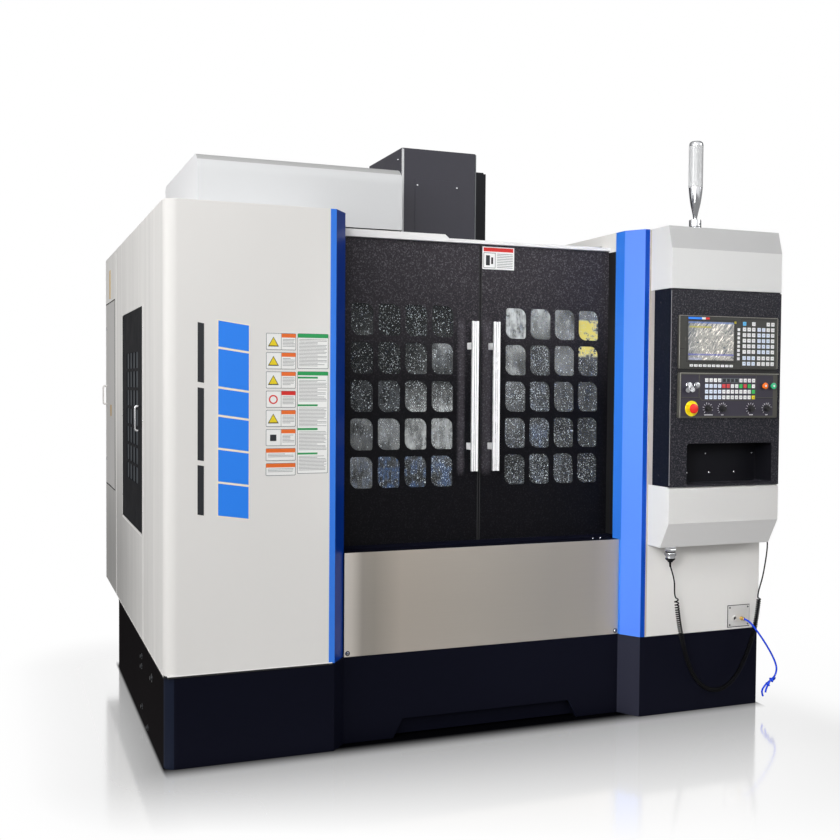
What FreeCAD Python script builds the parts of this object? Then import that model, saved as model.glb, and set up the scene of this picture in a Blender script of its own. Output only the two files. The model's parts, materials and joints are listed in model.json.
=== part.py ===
"""A vertical machining centre: enclosure, doors, control column and the machine inside.

Millimetres. X to the right, Y to the back, Z up. The origin is on the floor in the middle of the machine;
the plane X = 0 passes through the spindle axis and the gap between the sliding doors.
"""
import FreeCAD
import Part
import math
import os
import Sketcher

os.makedirs("parts", exist_ok=True)
V = FreeCAD.Vector
doc = FreeCAD.newDocument("machining_centre")

# ---------------------------------------------------------------- driving sizes
SIZES = {
    # enclosure, measured from the origin
    "left_side": 1324, "right_side": 1277, "panel_face": 998, "rear_face": 1206,
    "base_top": 343, "wall_top": 2073, "sheet": 3, "corner_round": 48,
    "base_inset": 2, "base_wall": 30,
    "base_length": 1571, "middle_face": 930, "column_face": 1024,
    "notch_half": 415, "notch_height": 75, "notch_slope": 40, "tank_gap": 190,
    # left window door and rear compartment door
    "side_window_front": 373, "side_window_length": 726, "side_window_bottom": 784,
    "side_window_height": 940,
    "rear_door_front": 727, "rear_door_length": 456, "rear_door_bottom": 867, "rear_door_height": 961,
    "door_seam": 3, "hinge_inset": 80, "hinge_long": 70,
    "slot_wide": 87, "slot_tall": 70, "slot_across": 110, "slot_up": 82.5, "slot_margin": 147,
    "slot_bottom": 194,
    # trims beside the doors
    "trim_left_edge": 704, "trim_strip": 23, "trim_left_inner": 622, "trim_left_depth": 79,
    "trim_right_inner": 614, "trim_right_slope": 51, "trim_right_strip": 23, "trim_depth": 124,
    # sliding doors
    "door_face": 814, "door_thick": 30, "door_width": 640, "door_meeting": 1.5,
    "sill_top": 758, "sill_drop": 13, "sill_lip": 6, "door_top": 2001,
    "rail_step": 15, "rail_high": 30, "rail_back": 60, "slide_gap": 0.5, "door_travel": 550,
    "pane_wide": 95, "pane_tall": 128, "pane_across": 116.5, "pane_up": 154.5, "pane_margin": 120,
    "pane_bottom": 233, "leaf_round": 36, "leaf_small": 12, "glass_thick": 6,
    "handle_bar": 30, "handle_long": 618, "handle_bottom": 1056, "handle_inset": 48, "handle_reach": 39,
    "standoff_round": 12, "standoff_low": 101, "standoff_high": 517,
    # stainless front panel
    "front_panel_top": 752,
    # magazine cover on the roof and the head cover
    "cover_left": 1130, "cover_right": 255, "cover_front": 560, "cover_back": 325, "cover_top": 2341,
    "cover_round": 75, "cover_back_round": 30, "hood_long": 495,
    "head_cover_half": 182, "head_cover_front": 351, "head_cover_back": 110,
    "head_cover_bottom": 1640, "head_cover_top": 2475,
    # control column
    "control_left": 695, "control_right": 1250, "control_front": 1176, "head_bottom": 1815,
    "head_top": 2074,
    "bevel_bottom": 1980, "bevel_depth": 25, "housing_top": 1810, "housing_bottom": 995,
    "lower_top": 990, "lower_bend": 844, "lower_bottom": 737, "lower_slope": 58,
    "pocket_left": 781, "pocket_right": 1211, "pocket_bottom": 1003, "pocket_top": 1175,
    "pocket_depth": 110,
    "display_left": 726, "display_right": 1226, "display_bottom": 1486, "display_top": 1706, "bezel": 8,
    "screen_left": 774, "screen_right": 1002, "screen_bottom": 1521, "screen_top": 1682,
    "screen_deep": 4,
    "panel_left": 728, "panel_right": 1229, "panel_bottom": 1282, "panel_top": 1469,
    "key_size": 18, "key_rise": 3, "key_pitch": 23.5, "key_left": 1053, "key_block": 1128,
    "key_bottom": 1510,
    "soft_column": 1024, "soft_low": 1530, "soft_pitch": 17.5, "soft_row_left": 790,
    "soft_row_pitch": 22,
    "soft_row": 1499, "soft_wide": 12,
    "pad_left": 866, "pad_pitch": 21.5, "pad_bottom": 1368, "pad_rise": 23.6, "pad_plate": 1.5,
    "pad_rim_left": 37, "pad_rim_right": 15.5, "pad_foot": 14, "pad_chamfer": 16, "readout_rise": 2,
    "button_round": 11, "button_press": 5, "estop_round": 20, "estop_reach": 22, "estop_press": 6,
    "knob_round": 15, "knob_reach": 16, "run_gap": 0.3,
    "stop_x": 795, "knob_row": 1321, "button_row": 1417, "hold_x": 1159, "start_x": 1202,
    "knob_1_x": 875, "knob_2_x": 948, "knob_3_x": 1092, "knob_4_x": 1174,
    "switch_left_x": 779, "switch_right_x": 819, "switch_round": 9,
    # tower light
    "tower_x": 857, "tower_y": 1100, "tower_high": 365, "tower_round": 30, "tower_cap": 18,
    "tower_foot": 26, "tower_foot_high": 37, "tower_neck": 8, "tower_flare": 173, "tower_waist": 88,
    "tower_waist_round": 18,
    # handwheel pendant and its cord
    "pendant_bottom": 860, "pendant_high": 220, "pendant_deep": 100, "pendant_thick": 45,
    "pendant_front": 1045, "wheel_round": 32, "wheel_thick": 22, "hook_thick": 4,
    "gland_x": 766, "gland_y": 1090, "gland_long": 67, "gland_round": 17,
    "cord_wire": 6, "coil_round": 10.5, "curls": 104,
    "plate_left": 1115, "plate_right": 1226, "plate_bottom": 355, "plate_top": 447, "plate_thick": 3,
    "hose_round": 4, "fitting_long": 22, "fitting_x": 1184, "fitting_z": 389,
    "port_x": 1148, "port_z": 392,
    # machine inside
    "bed_half": 380, "bed_front": 710, "bed_back": 900, "bed_top": 560, "bed_shoulder": 60,
    "bed_window_inset": 160, "bed_window_long": 260, "bed_window_low": 70, "bed_window_tall": 120,
    "bed_window_round": 30, "bed_window_step": 420,
    "foot_round": 55, "foot_high": 60, "foot_pad": 22, "foot_stud": 14, "foot_inset": 90,
    "foot_side": 80,
    "rail_wide": 45, "rail_tall": 38, "rail_half": 250,
    "spindle_y": 200, "saddle_half": 420, "saddle_depth": 260, "saddle_top": 740, "table_half": 500,
    "table_depth": 250, "table_top": 870, "slot_pitch": 90, "slot_neck": 18, "slot_foot": 30,
    "slot_deep": 32,
    "column_front": 370, "column_half": 280, "column_top": 2150, "column_rail": 120,
    "column_waist": 820,
    "column_window_inset": 90, "column_window_long": 270, "column_window_tall": 300,
    "column_window_round": 40, "column_window_step": 400, "column_web": 60,
    "column_knee": 1100, "duct_right": 430, "duct_front": 110, "duct_bottom": 1650, "duct_top": 2490,
    "nose_bottom": 1480, "cartridge_round": 75, "cartridge_top": 1600,
    "head_half": 150, "head_casting_top": 1900, "bore_round": 22, "spindle_round": 44,
    "spindle_drop": 28, "head_nose": 130,
    "disc_x": 640, "disc_round": 250, "pocket_circle": 225, "disc_bottom": 1436, "disc_thick": 16,
    "tools": 16,
    "gripper_round": 27, "carrier_half": 45, "carrier_top": 1590,
    "bracket_left": 780, "bracket_right": 185, "bracket_front": 250, "bracket_bottom": 1500,
    "cabinet_left": 860, "cabinet_bottom": 400, "cabinet_top": 2000, "back_wall": 440,
    "cabinet_inset": 4, "cabinet_side": 30, "cabinet_rim": 40, "louvre_long": 240, "louvre_tall": 12,
    "louvre_drop": 120, "louvre_left": 420, "louvre_pitch": 32, "louvre_across": 600, "louvre_deep": 3,
}
sheet = doc.addObject("Spreadsheet::Sheet", "sizes")
for row, (word, number) in enumerate(SIZES.items(), start=1):
    sheet.set(f"A{row}", word)
    sheet.set(f"B{row}", str(number))
    sheet.setAlias(f"B{row}", word)
doc.recompute()


class Size:
    """A length that knows both its value and the expression that gives it from the sheet."""

    def __init__(self, value, text):
        self.value = value
        self.text = text

    def _with(self, sign, other, swap=False):
        other = other if isinstance(other, Size) else Size(float(other), repr(float(other)))
        a, b = (other, self) if swap else (self, other)
        value = {
            "+": lambda: a.value + b.value,
            "-": lambda: a.value - b.value,
            "*": lambda: a.value * b.value,
            "/": lambda: a.value / b.value,
        }[sign]()
        return Size(value, f"({a.text} {sign} {b.text})")

    def __add__(self, other):
        return self._with("+", other)

    def __radd__(self, other):
        return self._with("+", other, True)

    def __sub__(self, other):
        return self._with("-", other)

    def __rsub__(self, other):
        return self._with("-", other, True)

    def __mul__(self, other):
        return self._with("*", other)

    def __rmul__(self, other):
        return self._with("*", other, True)

    def __truediv__(self, other):
        return self._with("/", other)

    def __neg__(self):
        return self._with("-", 0, True)

    def __float__(self):
        return self.value


class Sheet:
    """Gives each cell of the sheet by its word."""

    def __getattr__(self, word):
        return Size(float(sheet.get(word)), f"sizes.{word}")


S = Sheet()


def smaller(one, other):
    """The smaller of two sizes, as for a round that its wall has to hold."""
    return Size(min(float(one), float(other)), f"min({one.text}; {other.text})")


# ---------------------------------------------------------------- ways of making a piece
def bind(thing, prop, size):
    """Ties a property to the sheet."""
    if isinstance(size, Size):
        thing.setExpression(prop, size.text)
    else:
        thing.setExpression(prop, repr(float(size)))


def place(thing, at):
    for axis, size in zip("xyz", at):
        bind(thing, f"Placement.Base.{axis}", size)
    return thing


def block(name, low, high):
    """A box between two corners."""
    box = doc.addObject("Part::Box", name)
    for prop, a, b in zip(("Length", "Width", "Height"), low, high):
        bind(box, prop, Size(float(b), text_of(b)) - a)
    return place(box, low)


def text_of(size):
    return size.text if isinstance(size, Size) else repr(float(size))


TURN = {
    "+z": FreeCAD.Rotation(),
    "-y": FreeCAD.Rotation(V(1, 0, 0), 90),
    "+y": FreeCAD.Rotation(V(1, 0, 0), -90),
    "+x": FreeCAD.Rotation(V(0, 1, 0), 90),
    "-x": FreeCAD.Rotation(V(0, 1, 0), -90),
    "-z": FreeCAD.Rotation(V(1, 0, 0), 180),
}


def rod(name, at, radius, length, way="+z"):
    """A round bar from a point, along a direction."""
    bar = doc.addObject("Part::Cylinder", name)
    bind(bar, "Radius", radius)
    bind(bar, "Height", length)
    bar.Placement = FreeCAD.Placement(V(), TURN[way])
    return place(bar, at)


def cone(name, at, start, end, length, way="+z"):
    taper = doc.addObject("Part::Cone", name)
    bind(taper, "Radius1", start)
    bind(taper, "Radius2", end)
    bind(taper, "Height", length)
    taper.Placement = FreeCAD.Placement(V(), TURN[way])
    return place(taper, at)


def cut(name, base, tools):
    result = doc.addObject("Part::Cut", name)
    result.Base = base
    result.Tool = tools[0] if len(tools) == 1 else fuse(name + "_cutters", tools)
    return result


def fuse(name, pieces):
    result = doc.addObject("Part::MultiFuse", name)
    result.Shapes = pieces
    result.Refine = True
    return result


def group(name, pieces):
    """Separate like solids in one node."""
    result = doc.addObject("Part::Compound", name)
    result.Links = pieces
    return result


def outline(sketch, corners):
    """A closed outline through corners (across, up) or (across, up, radius), tied to the sheet."""
    points = [V(float(c[0]), float(c[1]), 0) for c in corners]
    count = len(corners)
    starts, ends, arcs = [None] * count, [None] * count, [None] * count
    for i, corner in enumerate(corners):
        here, back, ahead = points[i], points[i - 1], points[(i + 1) % count]
        if len(corner) == 2:
            starts[i] = ends[i] = here
            continue
        a, b = (back - here).normalize(), (ahead - here).normalize()
        half = a.getAngle(b) / 2
        radius = float(corner[2])
        reach = radius / math.tan(half)
        starts[i], ends[i] = here + a * reach, here + b * reach
        centre = here + (a + b).normalize() * (radius / math.sin(half))
        left_turn = (-a).cross(b).z > 0
        first, last = (starts[i], ends[i]) if left_turn else (ends[i], starts[i])
        angles = [math.atan2(p.y - centre.y, p.x - centre.x) for p in (first, last)]
        circle = Part.Circle(centre, V(0, 0, 1), radius)
        arcs[i] = (sketch.addGeometry(Part.ArcOfCircle(circle, *angles), False), left_turn)
    lines = []
    for i in range(count):
        lines.append(sketch.addGeometry(Part.LineSegment(ends[i], starts[(i + 1) % count]), False))
    for i, corner in enumerate(corners):
        before, after = lines[i - 1], lines[i]
        if arcs[i] is None:
            sketch.addConstraint(Sketcher.Constraint("Coincident", before, 2, after, 1))
            pinned = (after, 1)
        else:
            arc, left_turn = arcs[i]
            first, last = (1, 2) if left_turn else (2, 1)
            sketch.addConstraint(Sketcher.Constraint("Tangent", before, 2, arc, first))
            sketch.addConstraint(Sketcher.Constraint("Tangent", arc, last, after, 1))
            number = sketch.addConstraint(Sketcher.Constraint("Radius", arc, float(corner[2])))
            sketch.setExpression(f"Constraints[{number}]", text_of(corner[2]))
            mark = sketch.addGeometry(Part.Point(points[i]), True)
            sketch.addConstraint(Sketcher.Constraint("PointOnObject", mark, 1, before))
            sketch.addConstraint(Sketcher.Constraint("PointOnObject", mark, 1, after))
            pinned = (mark, 1)
        for kind, size in (("DistanceX", corner[0]), ("DistanceY", corner[1])):
            number = sketch.addConstraint(Sketcher.Constraint(kind, -1, 1, *pinned, float(size)))
            sketch.setExpression(f"Constraints[{number}]", text_of(size))


def new_body(name, at=(0, 0, 0)):
    return place(doc.addObject("PartDesign::Body", name), at)


def drawn(body, plane, *outlines):
    """A sketch on one of the body's own planes, with one or more closed outlines."""
    sketch = body.newObject("Sketcher::SketchObject", body.Name + "_sketch")
    flat = next(f for f in body.Origin.OriginFeatures if f.Role == plane + "_Plane")
    sketch.AttachmentSupport = (flat, [""])
    sketch.MapMode = "FlatFace"
    for corners in outlines:
        outline(sketch, corners)
    return sketch


def lift(body, sketch, low, high):
    """Raises a sketch's outline between two offsets along its plane's normal."""
    bind(sketch, "AttachmentOffset.Base.z", low)
    feature = body.newObject("PartDesign::Pad", body.Name + "_pad")
    feature.Profile = sketch
    bind(feature, "Length", Size(float(high), text_of(high)) - low)
    return feature


def sink(body, sketch, low, high):
    """Cuts a sketch's outline out between two offsets, and checks that it took something away."""
    doc.recompute()
    before = body.Shape.Volume
    bind(sketch, "AttachmentOffset.Base.z", low)
    feature = body.newObject("PartDesign::Pocket", body.Name + "_pocket")
    feature.Profile = sketch
    feature.Reversed = True
    bind(feature, "Length", Size(float(high), text_of(high)) - low)
    doc.recompute()
    if not body.Shape.Volume < before - 1:
        raise RuntimeError(f"{body.Name}: a pocket took nothing away")
    return feature


def repeat(body, features, steps):
    """Repeats features along the sketch's axes: (axis, spacing, count) for each step."""
    doc.recompute()
    many = body.newObject("PartDesign::MultiTransform", body.Name + "_grid")
    many.Originals = features
    patterns = []
    for axis, spacing, number in steps:
        line = body.newObject("PartDesign::LinearPattern", body.Name + "_row")
        line.Direction = (features[0].Profile[0], [axis])
        bind(line, "Length", spacing * (number - 1))
        line.Occurrences = number
        patterns.append(line)
    many.Transformations = patterns
    body.Tip = many
    return many


def rectangle(left, bottom, right, top, radius=None):
    corners = [(left, bottom), (right, bottom), (right, top), (left, top)]
    return corners if radius is None else [corner + (radius,) for corner in corners]


def plate(name, plane, corners, low, high, holes=()):
    """A flat piece: one outline with holes, raised between two offsets."""
    body = new_body(name)
    lift(body, drawn(body, plane, corners, *holes), low, high)
    return body


NODES = []


def node(thing, label=None):
    thing.Label = label or thing.Name
    NODES.append(thing)
    return thing


# ---------------------------------------------------------------- base
left, right, face, rear = -S.left_side, S.right_side, -S.panel_face, S.rear_face
trim_strip_end = -S.trim_left_edge + S.trim_strip
middle, column_plane = -S.middle_face, -S.column_face
slope_end = S.trim_right_inner + S.trim_right_slope
base_end = face + S.base_length


def base_skirt():
    """A deep folded skirt that follows the front's outline, open at the back, with a raised notch."""
    outer_left, outer_right = left + S.base_inset, right - S.base_inset
    outer_front, outer_step = face + S.base_inset, column_plane + S.base_inset
    inner_left, inner_right = outer_left + S.base_wall, outer_right - S.base_wall
    inner_front = middle + S.base_wall
    body = new_body("base_skirt")
    corners = [
        (outer_left, base_end),
        (outer_left, outer_front, S.corner_round),
        (trim_strip_end, outer_front),
        (-S.trim_left_inner, middle),
        (S.trim_right_inner, middle),
        (slope_end, outer_step),
        (outer_right, outer_step),
        (outer_right, base_end),
        (inner_right, base_end),
        (inner_right, inner_front),
        (inner_left, inner_front),
        (inner_left, base_end),
    ]
    lift(body, drawn(body, "XY", corners), 0, S.base_top)
    notch = [
        (-S.notch_half, -1),
        (S.notch_half, -1),
        (S.notch_half - S.notch_slope, S.notch_height),
        (S.notch_slope - S.notch_half, S.notch_height),
    ]
    sink(body, drawn(body, "XZ", notch), -(middle + S.base_wall + 1), -(middle - 1))
    return node(body)


def coolant_tank():
    """The closed tank behind the notch, its top edges rounded."""
    front = middle + S.base_wall
    half = S.notch_half + 60
    body = new_body("coolant_tank")
    section = [
        (front, 8),
        (front + S.tank_gap, 8),
        (front + S.tank_gap, S.base_top - 8, 12),
        (front, S.base_top - 8, 12),
    ]
    lift(body, drawn(body, "YZ", section), -half, half)
    return node(body)


def chip_tray():
    """The floor of the work area, behind the trims and round the bed casting."""
    gap = 10
    front = face + S.trim_depth + S.run_gap
    around = [
        (left + S.sheet, base_end),
        (left + S.sheet, front),
        (right - S.sheet, front),
        (right - S.sheet, base_end),
        (S.bed_half + gap, base_end),
        (S.bed_half + gap, -S.bed_front - gap),
        (-S.bed_half - gap, -S.bed_front - gap),
        (-S.bed_half - gap, base_end),
    ]
    return node(plate("chip_tray", "XY", around, S.base_top, S.base_top + S.sheet))


def bed():
    """The bed casting: a trapezoid section with core windows through its sides, on feet."""
    body = new_body("bed")
    section = [
        (-S.bed_half, S.foot_high),
        (S.bed_half, S.foot_high),
        (S.bed_half, S.base_top),
        (S.bed_half - S.bed_shoulder, S.bed_top),
        (S.bed_shoulder - S.bed_half, S.bed_top),
        (-S.bed_half, S.base_top),
    ]
    lift(body, drawn(body, "XZ", section), -S.bed_back, S.bed_front)
    y0, z0 = S.bed_window_inset - S.bed_front, S.foot_high + S.bed_window_low
    window = rectangle(y0, z0, y0 + S.bed_window_long, z0 + S.bed_window_tall, S.bed_window_round)
    pocket = sink(body, drawn(body, "YZ", window), -S.bed_half - 1, S.bed_half + 1)
    repeat(body, [pocket], [("H_Axis", S.bed_window_step, 3)])
    return node(body)


def levelling_feet():
    """Round pads on short studs under the bed's edges."""
    pieces = []
    for side in (-1, 1):
        front, back = S.foot_inset - S.bed_front, S.bed_back - S.foot_inset
        for k, y in enumerate((front, (front + back) / 2, back)):
            name = f"foot_{'left' if side < 0 else 'right'}_{k}"
            x = side * (S.bed_half - S.foot_side)
            pad = rod(name + "_pad", (x, y, 0), S.foot_round, S.foot_pad)
            stud = rod(name + "_stud", (x, y, 0), S.foot_stud, S.foot_high)
            pieces.append(fuse(name, [pad, stud]))
    return node(group("levelling_feet", pieces))


def guide_rails():
    """Linear rails: two on the bed along Y, two on the column along Z."""
    half = S.rail_wide / 2
    pieces = []
    for side in (-1, 1):
        x = side * S.rail_half
        pieces.append(
            block(
                f"bed_rail_{side + 1}",
                (x - half, -S.bed_front + 10, S.bed_top),
                (x + half, S.column_front - 10, S.bed_top + S.rail_tall),
            )
        )
        x = side * S.column_rail
        pieces.append(
            block(
                f"column_rail_{side + 1}",
                (x - half, S.column_front - S.rail_tall, S.saddle_top + 180),
                (x + half, S.column_front, S.column_top - 20),
            )
        )
    return node(group("guide_rails", pieces))


def column():
    """The column casting with its side pockets, the cable duct and the tool carousel's beam."""
    body = new_body("column_casting")
    side = [
        (S.column_front, S.bed_top),
        (S.bed_back, S.bed_top),
        (S.bed_back, S.column_knee),
        (S.column_waist, S.column_top),
        (S.column_front, S.column_top),
    ]
    lift(body, drawn(body, "YZ", side), -S.column_half, S.column_half)
    depth = S.column_half - S.column_web
    y0, z0 = S.column_front + S.column_window_inset, S.bed_top + S.column_window_inset
    y1, z1 = y0 + S.column_window_long, z0 + S.column_window_tall
    window = rectangle(y0, z0, y1, z1, S.column_window_round)
    for low, high in ((-S.column_half - 1, -depth), (depth, S.column_half + 1)):
        pocket = sink(body, drawn(body, "YZ", window), low, high)
        repeat(body, [pocket], [("V_Axis", S.column_window_step, 3)])
    duct = block(
        "cable_duct",
        (S.column_half - 1, S.duct_front, S.duct_bottom),
        (S.duct_right, S.column_front + 200, S.duct_top),
    )
    beam = block(
        "carousel_beam",
        (-S.bracket_left, S.bracket_front, S.bracket_bottom),
        (-S.bracket_right, S.column_front, S.carrier_top),
    )
    return node(fuse("column", [body, duct, beam]))


def work_area_back():
    """The sheets that close the work area behind, cut round the bed, the column and its duct."""
    z0, z1 = S.base_top + S.sheet, S.wall_top - S.sheet
    left_sheet = [
        (left + S.sheet, z0),
        (-S.bed_half, z0),
        (-S.bed_half, S.bed_top),
        (-S.column_half, S.bed_top),
        (-S.column_half, z1),
        (left + S.sheet, z1),
    ]
    right_sheet = [
        (S.bed_half, z0),
        (right - S.sheet, z0),
        (right - S.sheet, z1),
        (S.duct_right, z1),
        (S.duct_right, S.duct_bottom),
        (S.column_half, S.duct_bottom),
        (S.column_half, S.bed_top),
        (S.bed_half, S.bed_top),
    ]
    low, high = -S.back_wall - S.sheet, -S.back_wall
    pieces = [
        plate("back_left", "XZ", left_sheet, low, high),
        plate("back_right", "XZ", right_sheet, low, high),
    ]
    return node(group("work_area_back", pieces))


# ---------------------------------------------------------------- enclosure
def left_shell():
    """Front, left side and rear return folded from one sheet, with a large round at the front corner."""
    t = S.sheet
    inner_round = S.corner_round - t
    body = new_body("left_shell")
    path = [
        (-S.trim_left_edge, face),
        (-S.trim_left_edge, face + t),
        (left + t, face + t, inner_round),
        (left + t, rear - t),
        (-S.cabinet_left, rear - t),
        (-S.cabinet_left, rear),
        (left, rear),
        (left, face, S.corner_round),
    ]
    lift(body, drawn(body, "XY", path), S.base_top, S.wall_top)
    seam = S.door_seam
    y0, z0 = -S.side_window_front, S.side_window_bottom
    window = rectangle(
        y0 - seam, z0 - seam, y0 + S.side_window_length + seam, z0 + S.side_window_height + seam
    )
    sink(body, drawn(body, "YZ", window), left - 1, left + t + 1)
    y0, z0 = S.rear_door_front, S.rear_door_bottom
    hatch = rectangle(y0 - seam, z0 - seam, y0 + S.rear_door_length + seam, z0 + S.rear_door_height + seam)
    sink(body, drawn(body, "YZ", hatch), left - 1, left + t + 1)
    knuckles = []
    window_end = S.side_window_length - S.side_window_front
    for low, high, door_bottom, door_height in (
        (window_end + S.run_gap, window_end + seam + 2, S.side_window_bottom, S.side_window_height),
        (y0 - seam - 2, y0 - S.run_gap, z0, S.rear_door_height),
    ):
        for z in (door_bottom + S.hinge_inset, door_bottom + door_height - S.hinge_inset - S.hinge_long):
            knuckles.append(rectangle(low, z, high, z + S.hinge_long))
    lift(body, drawn(body, "YZ", *knuckles), left, left + t)
    return node(body)


def left_trim():
    """The blue strip beside the left panel, folded back at an angle to the door opening."""
    t = S.sheet
    path = [
        (-S.trim_left_edge, face),
        (trim_strip_end, face),
        (-S.trim_left_inner, face + S.trim_left_depth),
        (-S.trim_left_inner, face + S.trim_depth),
        (-S.trim_left_inner - t, face + S.trim_depth),
        (-S.trim_left_inner - t, face + S.trim_left_depth + t),
        (trim_strip_end - t, face + t),
        (-S.trim_left_edge, face + t),
    ]
    return node(plate("left_trim", "XY", path, S.base_top, S.wall_top))


def right_shell():
    """The right box: front, side and the return above the rail, with its top skin."""
    t = S.sheet
    front_left = slope_end + S.trim_right_strip
    body = new_body("right_shell")
    path = [
        (front_left, column_plane),
        (right, column_plane),
        (right, rear),
        (right - t, rear),
        (right - t, column_plane + t),
        (front_left, column_plane + t),
    ]
    lift(body, drawn(body, "XY", path), S.base_top, S.wall_top)
    hood_back = middle + S.hood_long
    top = [
        (S.trim_right_inner, middle + 60),
        (front_left, middle + 60),
        (front_left, column_plane + t),
        (right - t, column_plane + t),
        (right - t, hood_back),
        (S.trim_right_inner, hood_back),
    ]
    lift(body, drawn(body, "XY", top), S.wall_top - t, S.wall_top)
    inner = [
        (S.trim_right_inner, middle + 60),
        (S.trim_right_inner + t, middle + 60),
        (S.trim_right_inner + t, hood_back),
        (S.trim_right_inner, hood_back),
    ]
    lift(body, drawn(body, "XY", inner), S.door_top + S.rail_high, S.wall_top - t)
    return node(body)


def right_trim():
    """The blue trim by the control column: side face, bright sloped face, narrow front strip."""
    t = S.sheet
    y0, y1 = column_plane + S.trim_right_slope + 29, column_plane
    back = face + S.trim_depth
    path = [
        (S.trim_right_inner, back),
        (S.trim_right_inner, y0),
        (slope_end, y1),
        (slope_end + S.trim_right_strip, y1),
        (slope_end + S.trim_right_strip, y1 + t),
        (slope_end + t, y1 + t),
        (S.trim_right_inner + t, y0 + t),
        (S.trim_right_inner + t, back),
    ]
    return node(plate("right_trim", "XY", path, S.base_top, S.wall_top))


def front_panel():
    """The brushed panel under the doors, with a flange that lies on the base."""
    t = S.sheet
    section = [
        (middle, S.base_top),
        (middle + 20, S.base_top),
        (middle + 20, S.base_top + t),
        (middle + t, S.base_top + t),
        (middle + t, S.front_panel_top),
        (middle, S.front_panel_top),
    ]
    return node(plate("front_panel", "YZ", section, -S.trim_left_inner, S.trim_right_inner))


def door_sill():
    """The track under the doors, with two upstands, and a ledge to the front panel."""
    y0, y1 = -S.door_face - 16, -S.door_face + S.door_thick + 16
    z0, z1 = S.sill_top - S.sill_drop, S.sill_top
    lip = S.sill_lip
    body = new_body("door_sill")
    track = [
        (y0, z0),
        (y1, z0),
        (y1, z1 + lip),
        (y1 - 4, z1 + lip),
        (y1 - 4, z1),
        (y0 + 4, z1),
        (y0 + 4, z1 + lip),
        (y0, z1 + lip),
    ]
    reach = S.door_width + S.door_travel + 10
    lift(body, drawn(body, "YZ", track), -reach, reach)
    ledge = rectangle(middle + S.sheet, z0, y0 + 2, S.front_panel_top)
    lift(body, drawn(body, "YZ", ledge), -S.trim_left_inner, S.trim_right_inner)
    return node(body)


def top_rail():
    """The white rail over the doors; its left part stands higher, with a sloped end."""
    y0, y1 = -S.door_face - 16, -S.door_face + S.rail_back
    z0 = S.door_top - 3
    body = new_body("top_rail")
    front = [
        (-S.trim_left_edge, z0),
        (S.trim_right_inner, z0),
        (S.trim_right_inner, z0 + S.rail_step),
        (-148, z0 + S.rail_step),
        (-166, z0 + S.rail_high),
        (-S.trim_left_edge, z0 + S.rail_high),
    ]
    lift(body, drawn(body, "XZ", front), -y1, -y0)
    return node(body)


def roof_left():
    """The roof sheet round the foot of the magazine cover."""
    t = S.sheet
    around = [
        (left + t, face + t + S.corner_round),
        (left + t + S.corner_round, face + t),
        (-S.trim_left_edge, face + t),
        (-S.trim_left_inner - t, face + S.trim_left_depth + 4),
        (-S.trim_left_inner - t, -S.cover_front),
        (t - S.cover_left, -S.cover_front),
        (t - S.cover_left, S.back_wall),
        (left + t, S.back_wall),
    ]
    return node(plate("roof_left", "XY", around, S.wall_top - t, S.wall_top))


def magazine_cover():
    """The hood over the tool magazine: rounded front edge, open underneath."""
    t = S.sheet
    body = new_body("magazine_cover")
    z0 = S.wall_top
    wall = S.cover_top - z0 - t
    back_round = smaller(S.cover_back_round, wall)
    front_round = smaller(S.cover_round, wall)
    profile = [
        (-S.cover_front, z0),
        (S.cover_back, z0),
        (S.cover_back, S.cover_top, back_round),
        (-S.cover_front, S.cover_top, front_round),
    ]
    hollow = [
        (t - S.cover_front, z0 - 1),
        (S.cover_back - t, z0 - 1),
        (S.cover_back - t, S.cover_top - t, back_round - t),
        (t - S.cover_front, S.cover_top - t, front_round - t),
    ]
    lift(body, drawn(body, "YZ", profile), -S.cover_left, -S.cover_right)
    sink(body, drawn(body, "YZ", hollow), t - S.cover_left, -S.cover_right - t)
    return node(body)


def electric_cabinet():
    """The cabinet behind the column, with two plain door leaves and louvre slots on its back."""
    body = new_body("electric_cabinet")
    skin = rear - S.cabinet_inset
    plan = rectangle(-S.cabinet_left, S.bed_back, right - S.sheet, skin)
    lift(body, drawn(body, "XY", plan), S.cabinet_bottom, S.cabinet_top)
    middle_x = (right - S.sheet - S.cabinet_left) / 2
    z0, z1 = S.cabinet_bottom + S.cabinet_rim, S.cabinet_top - S.cabinet_rim
    seam = S.door_seam - 1
    leaves = (
        rectangle(S.cabinet_side - S.cabinet_left, z0, middle_x - seam, z1),
        rectangle(middle_x + seam, z0, right - S.sheet - S.cabinet_side, z1),
    )
    for leaf in leaves:
        lift(body, drawn(body, "XZ", leaf), -rear, -skin)
    x, z = middle_x - S.louvre_left, z1 - S.louvre_drop
    louvre = rectangle(x, z, x + S.louvre_long, z + S.louvre_tall)
    pocket = sink(body, drawn(body, "XZ", louvre), -rear - 1, S.louvre_deep - rear)
    repeat(body, [pocket], [("V_Axis", S.louvre_pitch, 3), ("H_Axis", S.louvre_across, 2)])
    return node(body)


# ---------------------------------------------------------------- hinged doors on the left side
def grid_of_slots(body, y, z):
    """Vertical slots, four across and seven up, as in the window door."""
    slot = rectangle(y, z, y + S.slot_wide, z + S.slot_tall, 8)
    pocket = sink(body, drawn(body, "YZ", slot), left - 1, left + S.sheet + 1)
    repeat(body, [pocket], [("H_Axis", S.slot_across, 4), ("V_Axis", S.slot_up, 7)])


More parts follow.
